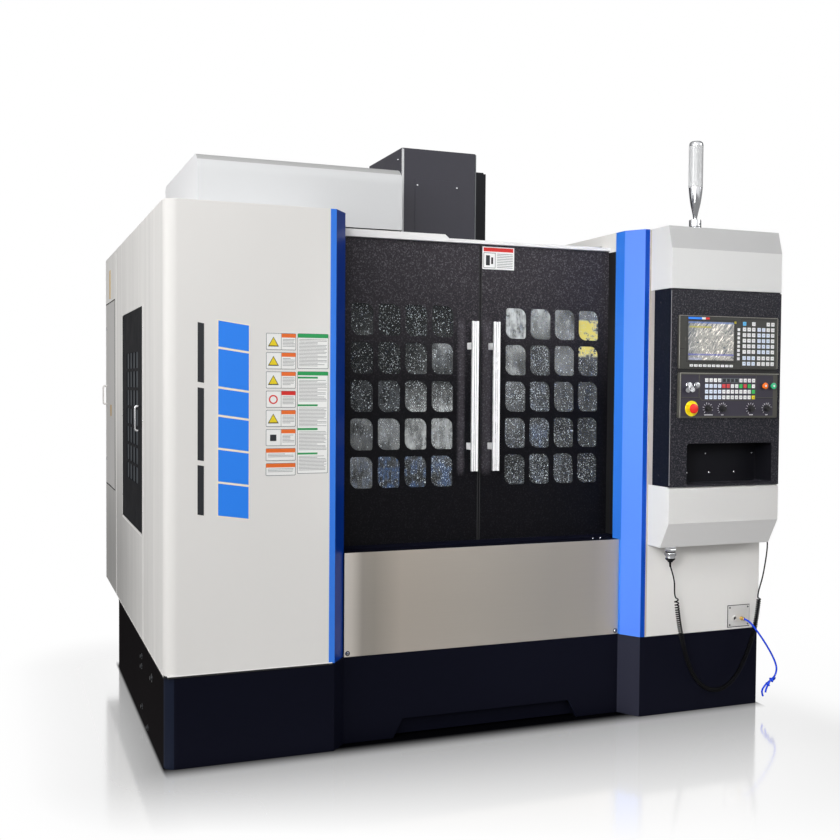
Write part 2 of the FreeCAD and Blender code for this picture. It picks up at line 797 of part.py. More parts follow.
def side_door():
    body = new_body("side_door")
    y0, z0 = -S.side_window_front, S.side_window_bottom
    leaf = rectangle(y0, z0, y0 + S.side_window_length, z0 + S.side_window_height)
    lift(body, drawn(body, "YZ", leaf), left, left + S.sheet)
    grid_of_slots(body, y0 + S.slot_margin, z0 + S.slot_bottom)
    node(body)
    margin = 40
    node(
        block(
            "side_door_glass",
            (left + S.sheet, y0 + S.slot_margin - margin, z0 + S.slot_bottom - margin),
            (
                left + S.sheet + S.glass_thick,
                y0 + S.slot_margin + 3 * S.slot_across + S.slot_wide + margin,
                z0 + S.slot_bottom + 6 * S.slot_up + S.slot_tall + margin,
            ),
        )
    )
    node(pull_handle("side_door_handle", y0 + 70, z0 + 422, 112))


def pull_handle(name, y, z, length):
    """A bow handle standing on the left side's sheet."""
    reach, thick, wide = 24, 7, 14
    body = new_body(name)
    bow = [
        (left, z),
        (left, z + thick + 3),
        (left - reach + thick, z + thick + 3, 6),
        (left - reach + thick, z + length - thick - 3, 6),
        (left, z + length - thick - 3),
        (left, z + length),
        (left - reach, z + length, 13),
        (left - reach, z, 13),
    ]
    lift(body, drawn(body, "XZ", bow), -y - wide / 2, -y + wide / 2)
    return body


def rear_door():
    y0, z0 = S.rear_door_front, S.rear_door_bottom
    node(
        block(
            "rear_door",
            (left, y0, z0),
            (left + S.sheet, y0 + S.rear_door_length, z0 + S.rear_door_height),
        )
    )
    node(pull_handle("rear_door_handle", y0 + S.rear_door_length - 40, z0 + 423, 107))


# ---------------------------------------------------------------- sliding doors
def leaf_window(x, z):
    """One window: large rounds at two opposite corners, small ones at the others."""
    r, s = S.leaf_round, S.leaf_small
    return [
        (x, z, r),
        (x + S.pane_wide, z, s),
        (x + S.pane_wide, z + S.pane_tall, r),
        (x, z + S.pane_tall, s),
    ]


def sliding_door(name, side):
    """One sliding door with its grid of windows, the pane behind it and the bar handle."""
    near, far = S.door_meeting, S.door_meeting + S.door_width
    low, high = (near, far) if side > 0 else (-far, -near)
    z0, z1 = S.sill_top + S.slide_gap, S.door_top - 3 - S.slide_gap
    y0, y1 = -S.door_face, -S.door_face + S.door_thick
    body = new_body(name)
    skin = S.sheet
    lift(body, drawn(body, "XZ", rectangle(low, z0, high, z1)), -y1, -y0)
    inside = rectangle(low + 25, z0 + 25, high - 25, z1 - 25)
    sink(body, drawn(body, "XZ", inside), -y1 - 1, -y0 - skin)
    grid_wide = 3 * S.pane_across + S.pane_wide
    first = S.pane_margin if side > 0 else -S.pane_margin - grid_wide
    opening = drawn(body, "XZ", leaf_window(first, S.sill_top + S.pane_bottom))
    pocket = sink(body, opening, -y0 - skin - 1, -y0 + 1)
    repeat(body, [pocket], [("H_Axis", S.pane_across, 4), ("V_Axis", S.pane_up, 5)])
    node(body)
    border = 25
    node(
        block(
            name + "_glass",
            (first - border, y0 + skin, S.sill_top + S.pane_bottom - border),
            (
                first + grid_wide + border,
                y0 + skin + S.glass_thick,
                S.sill_top + S.pane_bottom + 4 * S.pane_up + S.pane_tall + border,
            ),
        )
    )
    half = S.handle_bar / 2
    x = side * S.handle_inset
    bar_back = y0 - S.handle_reach
    pieces = [
        block(
            name + "_bar",
            (x - half, bar_back - S.handle_bar, S.handle_bottom),
            (x + half, bar_back, S.handle_bottom + S.handle_long),
        )
    ]
    for k, up in enumerate((S.standoff_low, S.standoff_high)):
        at = (x, y0, S.handle_bottom + up)
        pieces.append(rod(f"{name}_standoff_{k}", at, S.standoff_round, S.handle_reach + 1, "-y"))
    node(fuse(name + "_handle", pieces))


# ---------------------------------------------------------------- control column
def control_head():
    """The grey head: an upright block with a bevel up to its top."""
    y1 = -S.control_front
    profile = [
        (column_plane, S.head_bottom),
        (y1, S.head_bottom),
        (y1, S.bevel_bottom),
        (y1 + S.bevel_depth, S.head_top),
        (column_plane, S.head_top),
    ]
    return node(plate("control_head", "YZ", profile, S.control_left, S.control_right))


def control_housing():
    """The black housing, with the open pocket near its foot and a shadow gap above."""
    body = new_body("control_housing")
    side = rectangle(-S.control_front, S.housing_bottom, column_plane, S.head_bottom)
    lift(body, drawn(body, "YZ", side), S.control_left, S.control_right)
    mouth = rectangle(S.pocket_left, S.pocket_bottom, S.pocket_right, S.pocket_top, 12)
    sink(body, drawn(body, "XZ", mouth), S.control_front - S.pocket_depth, S.control_front + 1)
    recess = rectangle(S.control_left - 1, S.housing_top, S.control_right + 1, S.head_bottom + 1)
    sink(body, drawn(body, "XZ", recess), S.control_front - 8, S.control_front + 1)
    return node(body)


def control_lower_box():
    """The grey lower box; its front slopes back towards the foot."""
    y1 = -S.control_front
    profile = [
        (column_plane, S.lower_bottom),
        (y1 + S.lower_slope, S.lower_bottom),
        (y1, S.lower_bend),
        (y1, S.lower_top),
        (y1 + 10, S.lower_top),
        (y1 + 10, S.housing_bottom),
        (column_plane, S.housing_bottom),
    ]
    return node(plate("control_lower_box", "YZ", profile, S.control_left, S.control_right))


def display_unit():
    """The display's frame with the screen's recess, a card door and a ledge for the soft keys."""
    front = S.control_front
    body = new_body("display_unit")
    rim = rectangle(S.display_left, S.display_bottom, S.display_right, S.display_top, 8)
    lift(body, drawn(body, "XZ", rim), front, front + S.bezel)
    glass = rectangle(S.screen_left, S.screen_bottom, S.screen_right, S.screen_top)
    sink(body, drawn(body, "XZ", glass), front + S.bezel - S.screen_deep, front + S.bezel + 1)
    door = rectangle(S.display_left + 8, S.screen_bottom + 12, S.screen_left - 10, S.screen_bottom + 84, 4)
    lift(body, drawn(body, "XZ", door), front + S.bezel, front + S.bezel + 2)
    node(body)
    node(
        block(
            "screen",
            (S.screen_left + 1, -front - S.bezel + 1, S.screen_bottom + 1),
            (S.screen_right - 1, -front - S.bezel + S.screen_deep, S.screen_top - 1),
        )
    )


def keys():
    """All the keys of both panels, each a small block standing on its carrier."""
    pieces = []
    face_y = -S.control_front - S.bezel

    def key(x, z, wide, tall, seat=face_y):
        pieces.append(block(f"key_{len(pieces)}", (x, seat - S.key_rise, z), (x + wide, seat, z + tall)))

    for column in range(7):
        first = S.key_left if column < 3 else S.key_block - 3 * S.key_pitch
        for row in range(8):
            if row == 7 and column in (1, 3, 4):
                continue
            lower = 0 if row < 2 else 3
            x = first + column * S.key_pitch - S.key_size / 2
            z = S.key_bottom + row * S.key_pitch + lower - S.key_size / 2
            key(x, z, S.key_size, S.key_size)
    for row in range(8):
        key(S.soft_column - S.soft_wide / 2, S.soft_low + row * S.soft_pitch - 6, S.soft_wide, 12)
    for column in range(10):
        key(S.soft_row_left + column * S.soft_row_pitch - 8, S.soft_row - 5, 16, 10)
    for column in range(12):
        for row in range(4):
            if row == 3 and 4 <= column <= 7:
                continue
            x = S.pad_left + column * S.pad_pitch - 8
            key(x, S.pad_bottom + row * S.pad_rise - 9, 16, 18, face_y - S.pad_plate)
    return node(group("keys", pieces))


def operator_panel():
    """The operator's panel: a plate raised behind its keys, a readout, switch bosses and the stop's ring."""
    front = S.control_front
    board = new_body("operator_board")
    rim = rectangle(S.panel_left, S.panel_bottom, S.panel_right, S.panel_top, 6)
    lift(board, drawn(board, "XZ", rim), front, front + S.bezel)
    x0, x1 = S.pad_left - S.pad_rim_left, S.pad_left + 11 * S.pad_pitch + S.pad_rim_right
    z0, z1 = S.pad_bottom - S.pad_foot, S.panel_top - S.bezel
    plinth = [
        (x0, z1),
        (x0, z0 + S.pad_chamfer),
        (x0 + S.pad_chamfer, z0),
        (x1 - S.pad_chamfer, z0),
        (x1, z0 + S.pad_chamfer),
        (x1, z1),
    ]
    lift(board, drawn(board, "XZ", plinth), front + S.bezel, front + S.bezel + S.pad_plate)
    x, z = S.pad_left + 4 * S.pad_pitch, S.pad_bottom + 3 * S.pad_rise
    readout = rectangle(x - 9, z - 9, x + 3 * S.pad_pitch + 9, z + 9, 2)
    lift(board, drawn(board, "XZ", readout), front + S.bezel, front + S.bezel + S.pad_plate + S.readout_rise)
    pieces = [board]
    y = -front - S.bezel
    pieces.append(rod("stop_ring", (S.stop_x, y + 1, S.knob_row), S.estop_round + 12, 3, "-y"))
    pieces.append(rod("stop_stem", (S.stop_x, y, S.knob_row), S.estop_round - 10, 12, "-y"))
    for k, x in enumerate((S.switch_left_x, S.switch_right_x)):
        at = (x, y + 1, S.button_row)
        pieces.append(rod(f"key_switch_{k}", at, S.switch_round, 9, "-y"))
        pieces.append(rod(f"key_slot_{k}", at, S.switch_round - 3, 12, "-y"))
    bores = []
    deep = S.button_press + 1
    for name, x in (("hold", S.hold_x), ("start", S.start_x)):
        at = (x, y + 1, S.button_row)
        pieces.append(rod(name + "_collar", at, S.button_round + 3, 5, "-y"))
        at = (x, y + deep, S.button_row)
        bores.append(rod(name + "_bore", at, S.button_round + S.run_gap, deep + 6, "-y"))
    return node(cut("operator_panel", fuse("operator_solid", pieces), bores))


def controls():
    """What the operator moves: the stop, two push buttons and four rotary knobs."""
    y = -S.control_front - S.bezel
    cap = rod("stop_cap", (S.stop_x, y - 9, S.knob_row), S.estop_round, S.estop_reach - 9, "-y")
    at = (S.stop_x, y - 4 - S.estop_press, S.knob_row)
    waist = cone("stop_waist", at, S.estop_round - 4, S.estop_round, 4, "-y")
    at = (S.stop_x, y, S.knob_row)
    bore = S.estop_round - 10 + S.run_gap
    hollow = rod("stop_hollow", at, bore, 12 + S.estop_press + 0.5, "-y")
    body = fuse("stop_body", [cap, waist])
    node(cut("emergency_stop", body, [hollow]))
    for name, x in (("hold_button", S.hold_x), ("start_button", S.start_x)):
        node(rod(name, (x, y - S.run_gap, S.button_row), S.button_round, S.button_press + 8, "-y"))
    for k, x in enumerate((S.knob_1_x, S.knob_2_x, S.knob_3_x, S.knob_4_x)):
        skirt = rod(f"knob_skirt_{k}", (x, y - S.run_gap, S.knob_row), S.knob_round, 6, "-y")
        at = (x, y - 6, S.knob_row)
        grip = cone(f"knob_grip_{k}", at, S.knob_round - 2, S.knob_round - 4, 10, "-y")
        pointer = block(
            f"knob_pointer_{k}",
            (x - 2, y - S.knob_reach - 3, S.knob_row - 9),
            (x + 2, y - S.knob_reach + 1, S.knob_row + 9),
        )
        node(fuse(f"knob_{k + 1}", [skirt, grip, pointer]))


def tower_light():
    """The signal lamp: round foot, thin neck, flared taper and a smooth cylinder with a rounded cap."""
    body = new_body("tower_light", (S.tower_x, -S.tower_y, S.head_top))
    r, top, edge = S.tower_round, S.tower_high, S.sheet
    half_section = [
        (0, 0),
        (S.tower_foot, 0),
        (S.tower_foot, S.tower_foot_high, edge),
        (S.tower_neck, S.tower_foot_high),
        (S.tower_waist_round, S.tower_waist, 2 * S.tower_waist),
        (r, S.tower_flare, 2 * S.tower_waist),
        (r, top, S.tower_cap),
        (0, top),
    ]
    sketch = drawn(body, "XZ", half_section)
    spin = body.newObject("PartDesign::Revolution", "tower_spin")
    spin.Profile = sketch
    spin.ReferenceAxis = (sketch, ["V_Axis"])
    spin.Angle = 360
    return node(body)


# ---------------------------------------------------------------- handwheel pendant and its curly cord
def pendant():
    """The handwheel box on its hook at the machine's right side; two selector knobs stay on it."""
    x0 = right + S.hook_thick
    y0, y1 = -S.pendant_front, S.pendant_deep - S.pendant_front
    z0, z1 = S.pendant_bottom, S.pendant_bottom + S.pendant_high
    body = new_body("pendant_case")
    lift(body, drawn(body, "YZ", rectangle(y0, z0, y1, z1, 14)), x0, x0 + S.pendant_thick)
    hook = block("pendant_hook", (right, y0 + 20, z0 + 120), (x0, y1 - 20, z1 + 25))
    middle_y = (y0 + y1) / 2
    pieces = [body, hook]
    for k, offset in enumerate((-24, 24)):
        at = (x0 + S.pendant_thick - 1, middle_y + offset, z1 - 45)
        pieces.append(rod(f"selector_{k}", at, 12, 14, "+x"))
    node(fuse("pendant", pieces))
    at = (x0 + S.pendant_thick + S.run_gap, middle_y, z0 + 75)
    disc = rod("wheel_disc", at, S.wheel_round, S.wheel_thick - S.run_gap, "+x")
    at = (x0 + S.pendant_thick + 12, middle_y, z0 + 75)
    hollow = rod("wheel_dish", at, S.wheel_round - 6, 20, "+x")
    node(cut("pendant_wheel", disc, [hollow]))


# the cord's routes, (x, y, z), chosen along the photographed line; the lead and the tail run on into
# the ends of the wound stretch
LEAD_ROUTE = [(766, -1090, 670), (767, -1090, 652), (780, -1089, 620), (793, -1085, 582)]
COIL_ROUTE = [
    (800, -1086, 523), (810, -1085, 455), (820, -1085, 395), (833, -1085, 340), (847, -1085, 283),
    (868, -1085, 225), (900, -1085, 164), (950, -1085, 116), (1007, -1085, 98), (1062, -1085, 108),
    (1110, -1083, 142), (1146, -1082, 192), (1176, -1080, 248), (1202, -1078, 306), (1220, -1076, 366),
    (1235, -1073, 428), (1244, -1070, 492),
]
TAIL_ROUTE = [
    (1268, -1060, 566), (1285, -1054, 622), (1301, -1046, 676), (1313, -1036, 726), (1316, -1016, 780),
    (1303.5, -995, 832), (1303.5, -995, 860),
]
HOSE_ROUTE = [
    (1184, -1049, 389), (1184, -1071, 389), (1191, -1092, 375), (1210, -1107, 344), (1240, -1119, 298),
    (1272, -1127, 244), (1290, -1129, 208), (1298, -1130, 180), (1292, -1129, 152), (1274, -1128, 134),
    (1254, -1126, 122), (1238, -1123, 106), (1228, -1121, 90), (1228, -1120, 76), (1234, -1120, 62),
]


def route_wire(points):
    """Straight runs joined by tangent arcs as large as both runs of each bend allow."""
    points = [V(p) for p in points]
    corners, radii = [], []
    for back, here, ahead in zip(points, points[1:], points[2:]):
        a, b = back - here, ahead - here
        shorter = min(a.Length, b.Length)
        turn = math.pi - a.getAngle(b)
        radius = 0.45 * shorter / math.tan(turn / 2)
        reach = 0.45 * shorter
        start, end = here + a.normalize() * reach, here + b.normalize() * reach
        bisector = (a + b).normalize()
        centre_gap = math.hypot(radius, reach)
        corners.append((start, here + bisector * (centre_gap - radius), end))
        radii.append(radius)
    edges, at = [], points[0]
    for start, through, end in corners:
        edges.append(Part.LineSegment(at, start).toShape())
        edges.append(Part.Arc(start, through, end).toShape())
        at = end
    edges.append(Part.LineSegment(at, points[-1]).toShape())
    return Part.Wire(edges), radii


def tube(name, points, radius):
    """A round tube along a route; its volume must match its section times its length."""
    wire, radii = route_wire(points)
    print(f"{name}: bends of radius {min(radii):.0f} to {max(radii):.0f}")
    return piped(name, wire, radius)


def piped(name, wire, radius):
    """Sweeps a round section along a wire, and prints how its volume compares."""
    first = wire.Edges[0]
    start, way = first.valueAt(first.FirstParameter), first.tangentAt(first.FirstParameter)
    ring = Part.Wire([Part.Circle(start, way, radius).toShape()])
    solid = wire.makePipeShell([ring], True, False)
    ratio = solid.Volume / (math.pi * radius * radius * wire.Length)
    print(f"{name}: length {wire.Length:.0f}, volume {ratio:.4f} of section times length")
    feature = doc.addObject("Part::Feature", name)
    feature.Shape = solid
    return feature


def curled(name, points, outer, radius, curls):
    """One wire wound in curls round a route; it leaves each end straight, along the curls' outside.

    Returns the solid and, for each end, the wire's centre and its direction there.
    """
    wire, _ = route_wire(points)
    swing = outer - radius
    straight = 2 * radius
    step = 0.1
    count = int(wire.Length / step)
    line = wire.discretize(Number=count + 1)
    step = wire.Length / count
    ways = [(b - a).normalize() for a, b in zip(line, line[1:])]
    ways.append(ways[-1])
    lean = math.atan(2 * math.pi * swing * curls / wire.Length)
    ramp = 1.3 * swing
    side = V(0, 1, 0)
    angle, angles, sides = 0, [], []
    for k, way in enumerate(ways):
        side = (side - way * side.dot(way)).normalize()
        sides.append(side)
        angles.append(angle)
        inward = min(max(min(k, count - k) * step - straight, 0) / ramp, 1)
        angle += step * math.tan(math.asin(inward * math.sin(lean))) / swing
    full = 2 * math.pi * curls
    angles = [a * full / angles[-1] for a in angles]
    path = [
        c + u * (swing * math.cos(a)) + w.cross(u) * (swing * math.sin(a))
        for c, w, u, a in zip(line, ways, sides, angles)
    ]
    first, second = 0.3, 1.0
    marks = [0, first, second] + [math.pi * k for k in range(1, 2 * curls)]
    marks += [full - second, full - first, full]
    stations, at = [], int(straight / step)
    for mark in marks[:-1]:
        while angles[at] < mark:
            at += 1
        stations.append(at)
    stations.append(count - stations[0])
    tangents = [(path[k + 1] - path[k - 1]).normalize() for k in stations]
    tangents[0], tangents[-1] = ways[0], ways[-1]
    edges = [Part.LineSegment(path[0], path[stations[0]]).toShape()]
    for low, high, out, home in zip(stations, stations[1:], tangents, tangents[1:]):
        for start, way, end in biarc(path[low], path[high], out, home):
            edges.append(Part.Arc(start, bulge(start, way, end), end).toShape())
    edges.append(Part.LineSegment(path[stations[-1]], path[-1]).toShape())
    wound = Part.Wire(edges)
    tightest = min(edge.Curve.Radius for edge in edges[1:-1])
    points = wound.discretize(Distance=1.0)
    near, far = int(6 * radius), int(8 * math.pi * swing)
    least = min(a.distanceToPoint(b) for k, a in enumerate(points) for b in points[k + near:k + far])
    print(f"{name}: least gap to itself {least - 2 * radius:.2f}, tightest bend {tightest:.1f}")
    ends = [(path[0], ways[0]), (path[-1], ways[-1])]
    return piped(name, wound, radius), ends


def biarc(here, there, out, home):
    """Two arcs that meet smoothly between two points: (start, direction, end) of each."""
    across, both = there - here, out + home
    spread = 2 * (1 - out.dot(home))
    if spread < 1e-9:
        reach = across.dot(across) / (4 * across.dot(home))
    else:
        slope = across.dot(both)
        reach = (math.sqrt(slope * slope + spread * across.dot(across)) - slope) / spread
    knee, heel = here + out * reach, there - home * reach
    meet = (knee + heel) * 0.5
    return [(here, out, meet), (meet, (heel - knee).normalize(), there)]


def bulge(start, way, end):
    """The middle point of the arc that leaves start along way and ends at end."""
    chord = end - start
    along = FreeCAD.Vector(chord).normalize()
    sideways = (way - along * way.dot(along)).normalize()
    lean = math.acos(max(-1, min(1, way.dot(along))))
    return (start + end) * 0.5 - sideways * (-chord.Length / 2 * math.tan(lean / 2))


def cords():
    """The gland, the cord's three stretches, and the air hose with its fitting and plate."""
    z1 = S.lower_bottom
    at = (S.gland_x, -S.gland_y, z1)
    nut = rod("gland_nut", at, S.gland_round + 3, 18, "-z")
    shell = rod("gland_shell", at, S.gland_round, S.gland_long, "-z")
    node(fuse("cord_gland", [nut, shell]))
    wire, run = float(S.cord_wire) / 2, 20
    coil, ends = curled("cord_coil", COIL_ROUTE, float(S.coil_round), wire, round(float(S.curls)))
    (start, start_way), (end, end_way) = ends
    node(tube("cord_lead", LEAD_ROUTE + [start - start_way * run, start], wire))
    node(coil)
    node(tube("cord_tail", [end, end + end_way * run] + TAIL_ROUTE, wire))
    y = column_plane
    low = (S.plate_left, y - S.plate_thick, S.plate_bottom)
    board = block("air_board", low, (S.plate_right, y, S.plate_top))
    flange = rod("port_flange", (S.port_x, y, S.port_z), 13, 9, "-y")
    port = rod("port_bore", (S.port_x, y + 1, S.port_z), 8, 12, "-y")
    node(cut("air_plate", fuse("air_plate_body", [board, flange]), [port]))
    at = (S.fitting_x, y - S.plate_thick, S.fitting_z)
    body = rod("fitting_body", at, 9, 10, "-y")
    barb = rod("fitting_barb", at, 6, S.fitting_long, "-y")
    node(fuse("air_fitting", [body, barb]))
    node(tube("air_hose", HOSE_ROUTE, float(S.hose_round)))


# ---------------------------------------------------------------- moving machine inside
spindle_plane = -S.spindle_y


def saddle():
    """The saddle: it rides on the bed's rails, with channels under it, and carries the table's rails."""
    gap = S.run_gap
    body = new_body("saddle_casting")
    z0 = S.bed_top + 10
    y0, y1 = spindle_plane - S.saddle_depth, spindle_plane + S.saddle_depth
    section = [
        (-S.rail_half - 75, z0),
        (S.rail_half + 75, z0),
        (S.rail_half + 75, z0 + 70),
        (S.saddle_half, z0 + 110),
        (S.saddle_half, S.saddle_top),
        (-S.saddle_half, S.saddle_top),
        (-S.saddle_half, z0 + 110),
        (-S.rail_half - 75, z0 + 70),
    ]
    lift(body, drawn(body, "XZ", section), -y1, -y0)
    half = S.rail_wide / 2 + gap
    for side in (-1, 1):
        x = side * S.rail_half
        channel = rectangle(x - half, z0 - 1, x + half, S.bed_top + S.rail_tall + gap)
        sink(body, drawn(body, "XZ", channel), -y1 - 1, -y0 + 1)
    pieces = [body]
    for side in (-1, 1):
        y = spindle_plane + side * 150
        pieces.append(
            block(
                f"table_rail_{side + 1}",
                (-S.saddle_half, y - S.rail_wide / 2, S.saddle_top - 1),
                (S.saddle_half, y + S.rail_wide / 2, S.saddle_top + S.rail_tall),
            )
        )
    return node(fuse("saddle", pieces))


def table():
    """The table: five T-slots along X and channels that ride on the saddle's rails."""
    gap = S.run_gap
    body = new_body("table")
    z0 = S.saddle_top + 8
    y0, y1 = spindle_plane - S.table_depth, spindle_plane + S.table_depth
    section = [
        (y0, S.table_top),
        (y0, S.table_top - 50),
        (y0 + 20, S.table_top - 60),
        (y0 + 40, z0),
        (y1 - 40, z0),
        (y1 - 20, S.table_top - 60),
        (y1, S.table_top - 50),
        (y1, S.table_top),
    ]
    lift(body, drawn(body, "YZ", section), -S.table_half, S.table_half)
    half = S.rail_wide / 2 + gap
    for side in (-1, 1):
        y = spindle_plane + side * 150
        channel = rectangle(y - half, z0 - 1, y + half, S.saddle_top + S.rail_tall + gap)
        sink(body, drawn(body, "YZ", channel), -S.table_half - 1, S.table_half + 1)
    y = spindle_plane - 2 * S.slot_pitch
    neck, foot, top, deep = S.slot_neck / 2, S.slot_foot / 2, S.table_top, S.slot_deep
    tee = [
        (y - neck, top + 1),
        (y - neck, top - deep / 2),
        (y - foot, top - deep / 2),
        (y - foot, top - deep),
        (y + foot, top - deep),
        (y + foot, top - deep / 2),
        (y + neck, top - deep / 2),
        (y + neck, top + 1),
    ]
    pocket = sink(body, drawn(body, "YZ", tee), -S.table_half - 1, S.table_half + 1)
    repeat(body, [pocket], [("H_Axis", S.slot_pitch, 5)])
    return node(body)


def head():
    """The spindle head: a casting that rides the column's rails, a round cartridge, the motor."""
    gap = S.run_gap
    back = S.column_front - 8
    cartridge_back = spindle_plane + 130
    body = new_body("head_casting")
    side = [
        (back, S.nose_bottom + 60),
        (back, S.head_casting_top),
        (cartridge_back - 120, S.head_casting_top),
        (spindle_plane - S.head_nose, S.head_cover_bottom + 80),
        (spindle_plane - S.head_nose, S.cartridge_top),
        (cartridge_back - 60, S.cartridge_top - 50),
    ]
    lift(body, drawn(body, "YZ", side), -S.head_half, S.head_half)
    half = S.rail_wide / 2 + gap
    for way in (-1, 1):
        x = way * S.column_rail
        channel = rectangle(x - half, S.column_front - S.rail_tall - gap, x + half, S.column_front)
        sink(body, drawn(body, "XY", channel), S.nose_bottom, S.head_casting_top + 1)
    cartridge = rod(
        "cartridge",
        (0, spindle_plane, S.nose_bottom + S.spindle_drop),
        S.cartridge_round,
        S.cartridge_top - S.nose_bottom - S.spindle_drop + 40,
    )
    motor = block(
        "spindle_motor",
        (-105, spindle_plane - 105, S.head_casting_top - 150),
        (105, spindle_plane + 105, S.head_casting_top + 330),
    )
    core = rod("spindle_bore", (0, spindle_plane, S.nose_bottom), S.spindle_round + gap, 100)
    return node(cut("spindle_head", fuse("head_solid", [body, cartridge, motor]), [core]))


def head_cover():
    """The folded cover over the spindle motor; its bottom flange fits round the head casting."""
    t = S.sheet
    half, y0, y1 = S.head_cover_half, -S.head_cover_front, S.head_cover_back
    z0, z1 = S.head_cover_bottom, S.head_cover_top
    body = new_body("head_cover")
    round_edge = 8
    plan = [(-half, y0, round_edge), (half, y0, round_edge), (half, y1), (-half, y1)]
    lift(body, drawn(body, "XY", plan), z0, z1)
    inner = rectangle(t - half, y0 + t, half - t, y1 + 1)
    sink(body, drawn(body, "XY", inner), z0 + t, z1 - t)
    mouth = rectangle(-S.head_half, spindle_plane - S.head_nose, S.head_half, y1 + 1)
    sink(body, drawn(body, "XY", mouth), z0 - 1, z0 + t)
    return node(body)


def spindle():
    """The turning spindle: a stepped nose with the tool taper's bore and two drive keys."""
    body = new_body("spindle", (0, spindle_plane, S.nose_bottom))
    r, bore = S.spindle_round, S.bore_round
    half_section = [
        (bore, 0),
        (r - 8, 0),
        (r, 8),
        (r, 99.7),
        (0, 99.7),
        (0, 90),
        (bore - 10, 70),
    ]
    sketch = drawn(body, "XZ", half_section)
    spin = body.newObject("PartDesign::Revolution", "spindle_spin")
    spin.Profile = sketch
    spin.ReferenceAxis = (sketch, ["V_Axis"])
    spin.Angle = 360
    return node(body)


def carousel():
    """The tool disc: pockets round its edge for the holders, and a hub under its carrier."""
    body = new_body("tool_disc", (-S.disc_x, spindle_plane, S.disc_bottom))
    r, mouth = S.disc_round, S.gripper_round
    sketch = drawn(body, "XZ", [(0, 0), (r, 0), (r, S.disc_thick), (70, S.disc_thick), (70, 34), (0, 34)])
    spin = body.newObject("PartDesign::Revolution", "disc_spin")
    spin.Profile = sketch
    spin.ReferenceAxis = (sketch, ["V_Axis"])
    spin.Angle = 360
    inner = S.pocket_circle - mouth
    pocket_shape = [(inner, -mouth, 20), (r + 5, -mouth), (r + 5, mouth), (inner, mouth, 20)]
    pocket = sink(body, drawn(body, "XY", pocket_shape), -1, S.disc_thick + 1)
    doc.recompute()
    ring = body.newObject("PartDesign::PolarPattern", "disc_ring")
    ring.Originals = [pocket]
    ring.Axis = (pocket.Profile[0], ["N_Axis"])
    ring.Angle = 360
    bind(ring, "Occurrences", S.tools)
    body.Tip = ring
    return node(body)


def carousel_carrier():
    """The carrier that holds the disc's hub and slides on the bracket's beam."""
    half = S.carrier_half
    z0 = S.disc_bottom + 34 + S.run_gap
    x = -S.disc_x
    gap = S.run_gap
    low = (x - half, spindle_plane - 60, z0)
    arm = block("carrier_arm", low, (x + half, S.bracket_front - gap, S.carrier_top))
    saddle_block = block(
        "carrier_block",
        (x - half, S.bracket_front - gap - 1, z0),
        (x + half, S.column_front - gap, S.bracket_bottom - gap),
    )
    return node(fuse("carousel_carrier", [arm, saddle_block]))


# ---------------------------------------------------------------- build, check and write
for make in (
    base_skirt, coolant_tank, chip_tray, bed, levelling_feet, guide_rails, column, work_area_back,
    left_shell, left_trim, right_shell, right_trim, front_panel, door_sill, top_rail, roof_left,
    magazine_cover, electric_cabinet, side_door, rear_door,
):
    make()
sliding_door("door_left", -1)
sliding_door("door_right", 1)
for make in (
    control_head, control_housing, control_lower_box, display_unit, keys, operator_panel, controls,
    tower_light, pendant, cords, saddle, table, head, head_cover, spindle, carousel, carousel_carrier,
):
    make()
doc.recompute()

for thing in doc.Objects:
    if "Invalid" in thing.State or "Error" in thing.State:
        raise RuntimeError(f"{thing.Name} failed: {thing.State}")
for piece in NODES:
    if piece.Shape.isNull() or not piece.Shape.isValid():
        raise RuntimeError(f"{piece.Label} has no valid shape")
    piece.Shape.exportStep(f"parts/{piece.Label}.step")
print(len(NODES), "nodes")
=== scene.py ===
"""The looks of the machining centre: camera, light, finishes and the fittings on its panels."""

import json
import math
import random

import bmesh
import bpy
from mathutils import Matrix, Vector

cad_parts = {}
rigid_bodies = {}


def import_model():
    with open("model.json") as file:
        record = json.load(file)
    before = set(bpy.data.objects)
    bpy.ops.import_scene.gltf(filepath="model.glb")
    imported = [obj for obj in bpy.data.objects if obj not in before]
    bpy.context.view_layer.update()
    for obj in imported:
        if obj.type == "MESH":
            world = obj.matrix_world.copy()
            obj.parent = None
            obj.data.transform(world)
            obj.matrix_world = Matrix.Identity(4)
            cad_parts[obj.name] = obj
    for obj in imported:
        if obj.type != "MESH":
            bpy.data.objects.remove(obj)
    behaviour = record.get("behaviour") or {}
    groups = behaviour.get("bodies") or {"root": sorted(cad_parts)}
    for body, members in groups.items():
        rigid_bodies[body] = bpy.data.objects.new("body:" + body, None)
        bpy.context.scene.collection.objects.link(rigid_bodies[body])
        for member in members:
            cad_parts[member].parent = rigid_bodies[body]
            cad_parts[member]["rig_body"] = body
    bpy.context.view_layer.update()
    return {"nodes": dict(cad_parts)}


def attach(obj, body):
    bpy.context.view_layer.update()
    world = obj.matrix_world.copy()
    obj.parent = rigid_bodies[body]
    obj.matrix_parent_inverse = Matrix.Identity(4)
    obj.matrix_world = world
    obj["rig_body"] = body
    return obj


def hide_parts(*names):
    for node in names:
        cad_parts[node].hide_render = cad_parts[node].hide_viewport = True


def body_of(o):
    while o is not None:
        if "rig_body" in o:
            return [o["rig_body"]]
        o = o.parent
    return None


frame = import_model()
nodes = frame["nodes"]
scene = bpy.context.scene
scene.view_settings.view_transform = "Standard"
MM = 0.001
WHITE = (1, 1, 1)


def added(name, data):
    """A new object in the scene."""
    made = bpy.data.objects.new(name, data)
    scene.collection.objects.link(made)
    return made


